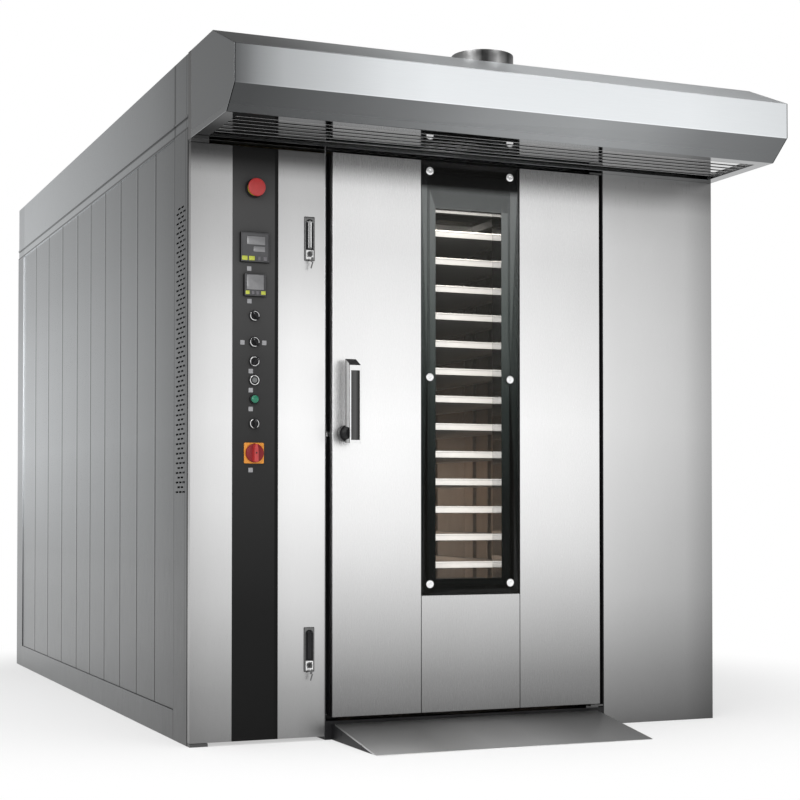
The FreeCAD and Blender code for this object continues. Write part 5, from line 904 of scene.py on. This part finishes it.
def boltHeads():
    v = glassBolts
    bm = bmesh.new()
    r, f = v["radius"], v["face"]
    for x in v["across"]:
        for z in v["heights"]:
            turned(bm, [(0.0, f + 0.0008), (0.0032, f + 0.0006), (0.0036, f + 0.0002), (0.0060, f),
                        (0.0064, f + 0.0003), (0.0068, f), (r - 0.0016, f), (r - 0.0005, f + 0.0004),
                        (r, f + 0.0014), (r, -0.0022), (r - 0.0010, -0.002), (0.0042, -0.002),
                        (0.0040, -0.001), (0.0040, 0.023), (0.0, 0.023)], (x, doorFace, z), count=48)
    piece(bm, "glassBolts", boltChrome, "door", ["glass_bolts"], soft=25)


def insertSheen():
    finish = Finish("handle insert black").put(Specular_IOR_Level=0.2)
    fine = finish.noise((1500, 1500, 1500), 3.0)
    left = doorHandle["left"] + doorHandle["margin"]
    right = doorHandle["left"] + doorHandle["width"] - doorHandle["margin"]
    sheen = greys((0.0, 0.020), (0.12, 0.060), (0.5, 0.085), (0.78, 0.030), (0.9, 0.006), (1.0, 0.006))
    tone = finish.ramp(finish.place("X", left, right), sheen)
    finish.colour(finish.times(tone, finish.grey(finish.spread(fine, 0.9, 1.0))))
    finish.rough(finish.spread(fine, 0.22, 0.32))
    finish.bump(fine, 0.05, 0.0001)
    return finish.material


handleBlack = moulded("handle black", (0.008, 0.008, 0.009), rough=(0.42, 0.52), shine=0.06)
insertBlack = insertSheen()
# The bar's sides are black at the front edge, then painted light and shade: palest near the front and darker
# towards the door.
barSteel = brushed("handle bar steel", "Y", doorHandle["front"], doorHandle["back"],
                   greys((0.0, 0.01), (0.20, 0.01), (0.32, 0.34), (0.6, 0.20), (0.85, 0.05), (1.0, 0.02)))
boltChrome = plated("bolt chrome", 0.90, (0.12, 0.26))
handleBar()
handleFrame()
boltHeads()


print("trays and wheels")
bakingTrays = dict(count=16, top=1.729, pitch=0.097, width=0.600, length=0.800, depth=0.025)


def trayStack():
    v = bakingTrays
    w, l, d = v["width"], v["length"], v["depth"]
    bm = bmesh.new()
    for level in range(v["count"]):
        top = v["top"] - level * v["pitch"]
        floor = top - d
        ring = lambda inset, corner: plateOutline(w - 2 * inset, l - 2 * inset, corner, 4)
        inside = [(ring(0.0085, 0.010), floor + 0.0016), (ring(0.0058, 0.012), floor + 0.0024),
                  (ring(0.0050, 0.012), floor + 0.0055), (ring(0.0042, 0.012), top - 0.0030),
                  (ring(0.0034, 0.012), top - 0.0008)]
        rim = [(ring(0.0022, 0.013), top), (ring(0.0008, 0.014), top - 0.0006),
               (ring(0.0, 0.014), top - 0.0022), (ring(0.0002, 0.014), top - 0.0056),
               (ring(0.0016, 0.013), top - 0.0066), (ring(0.0026, 0.013), top - 0.0060)]
        outside = [(ring(0.0036, 0.012), floor + 0.0050), (ring(0.0046, 0.012), floor + 0.0014),
                   (ring(0.0085, 0.010), floor)]
        skin(bm, inside + rim + outside, (0.0, 0.0, 0.0), axis="Z")
    piece(bm, "bakingTrays", trayMetal, "rack", ["trays"], soft=50)


casterWheels = dict(across=0.255, along=0.325, height=0.1093, radius=0.050, width=0.030, bore=0.0068)


def rackWheels():
    v = casterWheels
    r, w, b = v["radius"], v["width"] / 2, v["bore"]
    for depth, sy in (("front", -1), ("rear", 1)):
        for side, sx in (("left", -1), ("right", 1)):
            bm = bmesh.new()
            centre = (sx * v["across"], sy * v["along"], v["height"])
            turned(bm, [(b + 0.006, -w + 0.002), (r - 0.016, -w + 0.002), (r - 0.014, -w + 0.0005),
                        (r - 0.005, -w), (r - 0.0018, -w + 0.001), (r - 0.0004, -w + 0.0035),
                        (r, -w + 0.007), (r, w - 0.007), (r - 0.0004, w - 0.0035), (r - 0.0018, w - 0.001),
                        (r - 0.005, w), (r - 0.014, w - 0.0005), (r - 0.016, w - 0.002),
                        (b + 0.006, w - 0.002)], centre, "X", 56, closed=True)
            turned(bm, [(b, -w), (b + 0.005, -w), (b + 0.0062, -w + 0.0012), (b + 0.0062, w - 0.0012),
                        (b + 0.005, w), (b, w)], centre, "X", 32, closed=True, paint=1)
            piece(bm, f"rackWheel_{depth}_{side}", [wheelResin, brightSteel], f"caster_{depth}_{side}",
                  [f"wheel_{depth}_{side}"])


trayStack()
rackWheels()


print("ramp")
loadingRamp = dict(half=0.483, front=-1.034, toe=-0.994, back=-0.666, seat=-0.6385, top=0.054, under=0.049,
                   ribs=5, rib=0.004, screws=((-0.90, 0.010), (-0.72, 0.028)))


def rampParts():
    v = loadingRamp
    bm = bmesh.new()
    slope = [(v["front"], 0.0004), (v["toe"], 0.0004), (v["back"], v["under"]), (v["back"], v["top"]),
             (v["front"] + 0.002, 0.0022)]
    skin(bm, [(slope, -v["half"]), (slope, v["half"])], (0.0, 0.0, 0.0), axis="X")
    made = piece(bm, "rampPlate", rampSteel, "cabinet", ["ramp"])
    roundEdges(made, 0.0008, 2, harden=False)
    bm = bmesh.new()
    wedge = [(v["front"] + 0.044, 0.0003), (v["seat"], 0.0003), (v["seat"], v["under"]),
             (v["back"], v["under"])]
    for i in range(v["ribs"]):
        start = -v["half"] + i * (2 * v["half"] - v["rib"]) / (v["ribs"] - 1)
        skin(bm, [(wedge, start), (wedge, start + v["rib"])], (0.0, 0.0, 0.0), axis="X")
    for sx in (-1, 1):
        for y, high in v["screws"]:
            turned(bm, [(0.0, -0.0008), (0.006, -0.0008), (0.0066, 0.0), (0.0, 0.0)],
                   (sx * v["half"], y, high), axis="X", count=16)
    piece(bm, "rampWedges", blackPaint, "cabinet", ["ramp"])


rampParts()


print("motors and burner")
roof = 2.200
driveSpots = dict(fan=1.330, burner=(2.158, 0.520))  # the fan's depth, and the burner's wall and height


# A motor case has fins along it, so its outline is toothed.
def finOutline(radius, depth, fins):
    points = []
    for i in range(fins):
        for share, r in ((0.0, radius - depth), (0.28, radius - depth), (0.36, radius), (0.72, radius),
                         (0.80, radius - depth)):
            angle = 2 * math.pi * (i + share) / fins
            points.append((r * math.cos(angle), r * math.sin(angle)))
    return points


def finnedMotor(bm, centre, axis, radius, start, end, cover, fins=30, paint=0):
    lip = 0.004
    body = finOutline(radius, radius * 0.10, fins)
    skin(bm, [(body, start + 0.02), (body, end - cover)], centre, axis, paint=paint)
    turned(bm, [(0.0, start), (radius * 0.96, start), (radius, start + lip), (radius, start + 0.018),
                (radius * 0.95, start + 0.022), (0.0, start + 0.022)], centre, axis, 48, paint=paint)
    turned(bm, [(0.0, end - cover - 0.006), (radius * 0.95, end - cover - 0.006), (radius, end - cover),
                (radius, end - 0.012), (radius * 0.93, end - 0.003), (radius * 0.80, end), (0.0, end)],
           centre, axis, 48, paint=1)
    for k in range(6):
        r = radius * (0.18 + 0.10 * k)
        turned(bm, [(r, end - 0.0005), (r + 0.004, end - 0.0005), (r + 0.004, end + 0.0008),
                    (r, end + 0.0008)], centre, axis, 40, closed=True, paint=2)


def plateBolts(bm, spots, z, radius=0.009, paint=2):
    for x, y in spots:
        hexagon = roundOutline(radius, 6)
        skin(bm, [(roundOutline(radius * 1.35, 18), z), (roundOutline(radius * 1.35, 18), z + 0.002)],
             (x, y, 0.0), "Z", paint=paint)
        skin(bm, [(hexagon, z + 0.002), (hexagon, z + 0.0075), (roundOutline(radius * 0.9, 6), z + 0.0085)],
             (x, y, 0.0), "Z", paint=paint)


def rackDrive():
    bm = bmesh.new()
    corners = [(sx * 0.125, sy * 0.125) for sx in (-1, 1) for sy in (-1, 1)]
    plate, thin = plateOutline(0.300, 0.300, 0.012), plateOutline(0.298, 0.298, 0.011)
    skin(bm, [(plate, 0.0004), (plate, 0.011), (thin, 0.012)], (0.0, 0.0, roof), "Z")
    case = lambda inset, corner: plateOutline(0.150 - 2 * inset, 0.150 - 2 * inset, corner)
    skin(bm, [(case(0.0, 0.020), 0.012), (case(0.0, 0.020), 0.030), (case(0.006, 0.018), 0.034),
              (case(0.006, 0.018), 0.136), (case(0.0, 0.020), 0.140), (case(0.0, 0.020), 0.154),
              (case(0.004, 0.016), 0.160)], (0.0, 0.0, roof), "Z")
    turned(bm, [(0.0, 0.160), (0.052, 0.160), (0.052, 0.166), (0.046, 0.170), (0.024, 0.170), (0.024, 0.166),
                (0.0, 0.166)], (0.0, 0.0, roof), "Z", 48)
    for k in range(5):
        x = -0.050 + 0.025 * k
        block(bm, (x - 0.002, -0.0745, roof + 0.034), (x + 0.002, -0.0680, roof + 0.138), 0.0008)
        block(bm, (x - 0.002, 0.0680, roof + 0.034), (x + 0.002, 0.0745, roof + 0.138), 0.0008)
    finnedMotor(bm, (0.0, 0.0, roof + 0.090), "X", 0.064, 0.076, 0.303, 0.055)
    block(bm, (0.132, -0.040, roof + 0.150), (0.208, 0.040, roof + 0.184), 0.003)
    block(bm, (0.130, -0.042, roof + 0.182), (0.210, 0.042, roof + 0.1895), 0.002)
    plateBolts(bm, corners, roof + 0.012)
    plateBolts(bm, [(0.138, -0.034), (0.138, 0.034), (0.202, -0.034), (0.202, 0.034)], roof + 0.1805, 0.003)
    turned(bm, [(0.0, 0.039), (0.008, 0.039), (0.008, 0.048), (0.011, 0.050), (0.011, 0.060), (0.006, 0.064),
                (0.0, 0.064)], (0.170, 0.0, roof + 0.167), "Y", 24, paint=1)
    piece(bm, "rackDrive", [motorGrey, blackPaint, brightSteel], "cabinet", ["gearmotor"])


def fanDrive():
    y = driveSpots["fan"]
    bm = bmesh.new()
    plate, thin = plateOutline(0.380, 0.380, 0.014), plateOutline(0.378, 0.378, 0.013)
    skin(bm, [(plate, 0.0004), (plate, 0.009), (thin, 0.010)], (0.0, y, roof), "Z")
    finnedMotor(bm, (0.0, y, roof), "Z", 0.094, 0.011, 0.249, 0.052, fins=36)
    block(bm, (0.086, y - 0.044, roof + 0.070), (0.144, y + 0.044, roof + 0.148), 0.004)
    block(bm, (0.142, y - 0.046, roof + 0.068), (0.150, y + 0.046, roof + 0.150), 0.002)
    plateBolts(bm, [(sx * 0.165, y + sy * 0.165) for sx in (-1, 1) for sy in (-1, 1)], roof + 0.010)
    plateBolts(bm, [(0.115 * math.cos(a), y + 0.115 * math.sin(a)) for a in (0.785, 2.356, 3.927, 5.498)],
               roof + 0.010, 0.007)
    piece(bm, "fanDrive", [motorGrey, blackPaint, brightSteel], "cabinet", ["fan_motor"])


def burnerUnit():
    wall, z = driveSpots["burner"]
    bm = bmesh.new()
    turned(bm, [(0.0665, wall + 0.0004), (0.138, wall + 0.0004), (0.140, wall + 0.002), (0.140, wall + 0.010),
                (0.138, wall + 0.012), (0.0665, wall + 0.012)], (0.0, 0.0, z), "Y", 72, closed=True, paint=2)
    turned(bm, [(0.0665, -0.228 + wall), (0.0700, -0.228 + wall), (0.0700, wall), (0.0665, wall)],
           (0.0, 0.0, z), "Y", 56, closed=True, paint=2)
    body = lambda inset: plateOutline(0.220 - 2 * inset, 0.240 - 2 * inset, 0.022 - inset)
    skin(bm, [(body(0.004), wall + 0.012), (body(0.0), wall + 0.016), (body(0.0), wall + 0.150),
              (body(0.003), wall + 0.153), (body(0.003), wall + 0.157), (body(0.0), wall + 0.160),
              (body(0.0), wall + 0.200), (body(0.010), wall + 0.210)], (0.0, 0.0, z + 0.010))
    turned(bm, [(0.0, 0.108), (0.116, 0.108), (0.120, 0.114), (0.120, 0.192), (0.114, 0.200), (0.070, 0.200),
                (0.066, 0.196), (0.0, 0.196)], (0.0, wall + 0.145, z), "X", 64)
    finnedMotor(bm, (0.0, wall + 0.145, z), "X", 0.054, 0.200, 0.308, 0.032, fins=24)
    for a in range(6):
        angle = math.pi / 3 * a + 0.5
        spot = (0.126 * math.cos(angle), 0.0, z + 0.126 * math.sin(angle))
        turned(bm, [(0.0, wall + 0.011), (0.010, wall + 0.011), (0.010, wall + 0.018),
                    (0.008, wall + 0.020), (0.0, wall + 0.020)], spot, "Y", 6, paint=2)
    for k in range(7):
        low = z + 0.012 * k
        block(bm, (-0.085, wall + 0.2095, low), (0.085, wall + 0.2125, low + 0.004), 0.0008, paint=1)
    turned(bm, [(0.0, wall + 0.209), (0.016, wall + 0.209), (0.016, wall + 0.214), (0.012, wall + 0.217),
                (0.0, wall + 0.217)], (0.060, 0.0, z - 0.060), "Y", 28, paint=3)
    turned(bm, [(0.0, wall + 0.209), (0.009, wall + 0.209), (0.009, wall + 0.214), (0.0, wall + 0.214)],
           (-0.060, 0.0, z - 0.060), "Y", 24, paint=1)
    piece(bm, "burnerUnit", [burnerBlue, blackPaint, brightSteel, redPlastic], "cabinet", ["burner"])


rackDrive()
fanDrive()
burnerUnit()


print("floor, lamps and camera")


pale = dict(half=30.0, height=-0.0005, middle=0.7, fade=(1.6, 2.8), least=0.5)


# The floor keeps the shadow near the cabinet and fades to plain white further out.
def paleGround():
    v = pale
    mesh = bpy.data.meshes.new("ground")
    corners = [(x * v["half"], y * v["half"], v["height"]) for x, y in ((-1, -1), (1, -1), (1, 1), (-1, 1))]
    mesh.from_pydata(corners, [], [(0, 1, 2, 3)])
    ground = bpy.data.objects.new("ground", mesh)
    bpy.context.scene.collection.objects.link(ground)
    finish = Finish("pale ground").put(Base_Color=(0.92, 0.92, 0.92, 1.0), Roughness=0.95,
                                       Specular_IOR_Level=0.1)
    shift = finish.add("ShaderNodeMapping", Location=(0.0, -v["middle"], 0.0))
    reach = finish.add("ShaderNodeVectorMath", operation="LENGTH")
    finish.link(finish.coords, shift.inputs["Vector"])
    finish.link(shift.outputs["Vector"], reach.inputs[0])
    fade = finish.spread(reach.outputs["Value"], v["least"], 1.0, *v["fade"])
    fade.node.interpolation_type = "SMOOTHSTEP"
    plain = finish.add("ShaderNodeEmission", Color=(1.0, 1.0, 1.0, 1.0))
    surface = finish.mixed(fade, finish.shader.outputs["BSDF"], plain.outputs["Emission"])
    finish.link(surface, finish.tree.nodes["Material Output"].inputs["Surface"])
    mesh.materials.append(finish.material)


skyTones = dict(ahead=greys((0.0, 1.0), (0.35, 0.95), (0.6, 0.5), (1.0, 0.45)),
                aloft=greys((0.0, 0.9), (0.25, 1.0), (0.42, 0.62), (0.6, 0.32), (1.0, 0.28)), strength=1.15)


# The camera sees plain white; everything else is lit by a room that is paler in front and near the floor.
def softSky():
    world = bpy.data.worlds.new("soft studio")
    bpy.context.scene.world = world
    world.use_nodes = True
    bench = NodeBench(world.node_tree)
    bench.tree.nodes.clear()
    parts = bench.add("ShaderNodeSeparateXYZ")
    bench.link(bench.add("ShaderNodeTexCoord").outputs["Generated"], parts.inputs["Vector"])
    ahead = bench.ramp(bench.spread(parts.outputs["Y"], 0.0, 1.0, -1.0, 1.0), skyTones["ahead"])
    aloft = bench.ramp(bench.spread(parts.outputs["Z"], 0.0, 1.0, -0.2, 1.0), skyTones["aloft"])
    room = bench.add("ShaderNodeBackground", Strength=skyTones["strength"])
    bench.link(bench.times(ahead, aloft), room.inputs["Color"])
    plain = bench.add("ShaderNodeBackground", Color=(1.0, 1.0, 1.0, 1.0))
    rays = bench.add("ShaderNodeLightPath")
    surface = bench.mixed(rays.outputs["Is Camera Ray"], room.outputs["Background"],
                          plain.outputs["Background"])
    bench.link(surface, bench.add("ShaderNodeOutputWorld").inputs["Surface"])


def softLamp(name, place, target, size, power, colour=(1.0, 1.0, 1.0)):
    data = bpy.data.lights.new(name, "AREA")
    data.shape = "RECTANGLE"
    data.size, data.size_y = size
    data.energy = power
    data.color = colour
    lamp = bpy.data.objects.new(name, data)
    bpy.context.scene.collection.objects.link(lamp)
    lamp.location = place
    lamp.visible_camera = False
    lamp.rotation_euler = (Vector(target) - Vector(place)).to_track_quat("-Z", "Y").to_euler()
    return lamp


lamps = dict(
    overhead=dict(place=(-0.6, -1.2, 6.5), target=(0.0, 0.4, 0.0), size=(7.0, 7.0), power=460),
    front=dict(place=(-3.2, -6.0, 3.0), target=(0.0, -0.6, 1.0), size=(3.0, 3.0), power=90),
    oven=dict(place=(0.0, -0.47, 1.78), target=(0.0, 0.1, 0.8), size=(0.5, 0.05), power=1.5,
              colour=(1.0, 0.93, 0.82)),
    wall=dict(place=(0.0, 0.44, 0.72), target=(0.0, 1.2, 0.72), size=(0.5, 0.7), power=2.0,
              colour=(1.0, 0.92, 0.84)),
    window=dict(place=(0.08, -0.55, 1.10), target=(0.08, 0.0, 1.10), size=(0.60, 1.40), power=6.5,
                colour=(1.0, 0.96, 0.90)),
)
paleGround()
softSky()
for name, values in lamps.items():
    softLamp(name, **values)

cameraView = dict(place=(-2.3800, -5.7455, 0.7502), turn=(math.pi / 2 + 0.02, 0.0, -0.3963),
                  lens=75.24, shiftUp=0.0938)
cameraData = bpy.data.cameras.new("camera")
cameraData.lens = cameraView["lens"]
cameraData.shift_y = cameraView["shiftUp"]
camera = bpy.data.objects.new("camera", cameraData)
camera.location = cameraView["place"]
camera.rotation_euler = cameraView["turn"]
bpy.context.scene.collection.objects.link(camera)
bpy.context.scene.camera = camera
bpy.context.scene.view_settings.view_transform = "Standard"
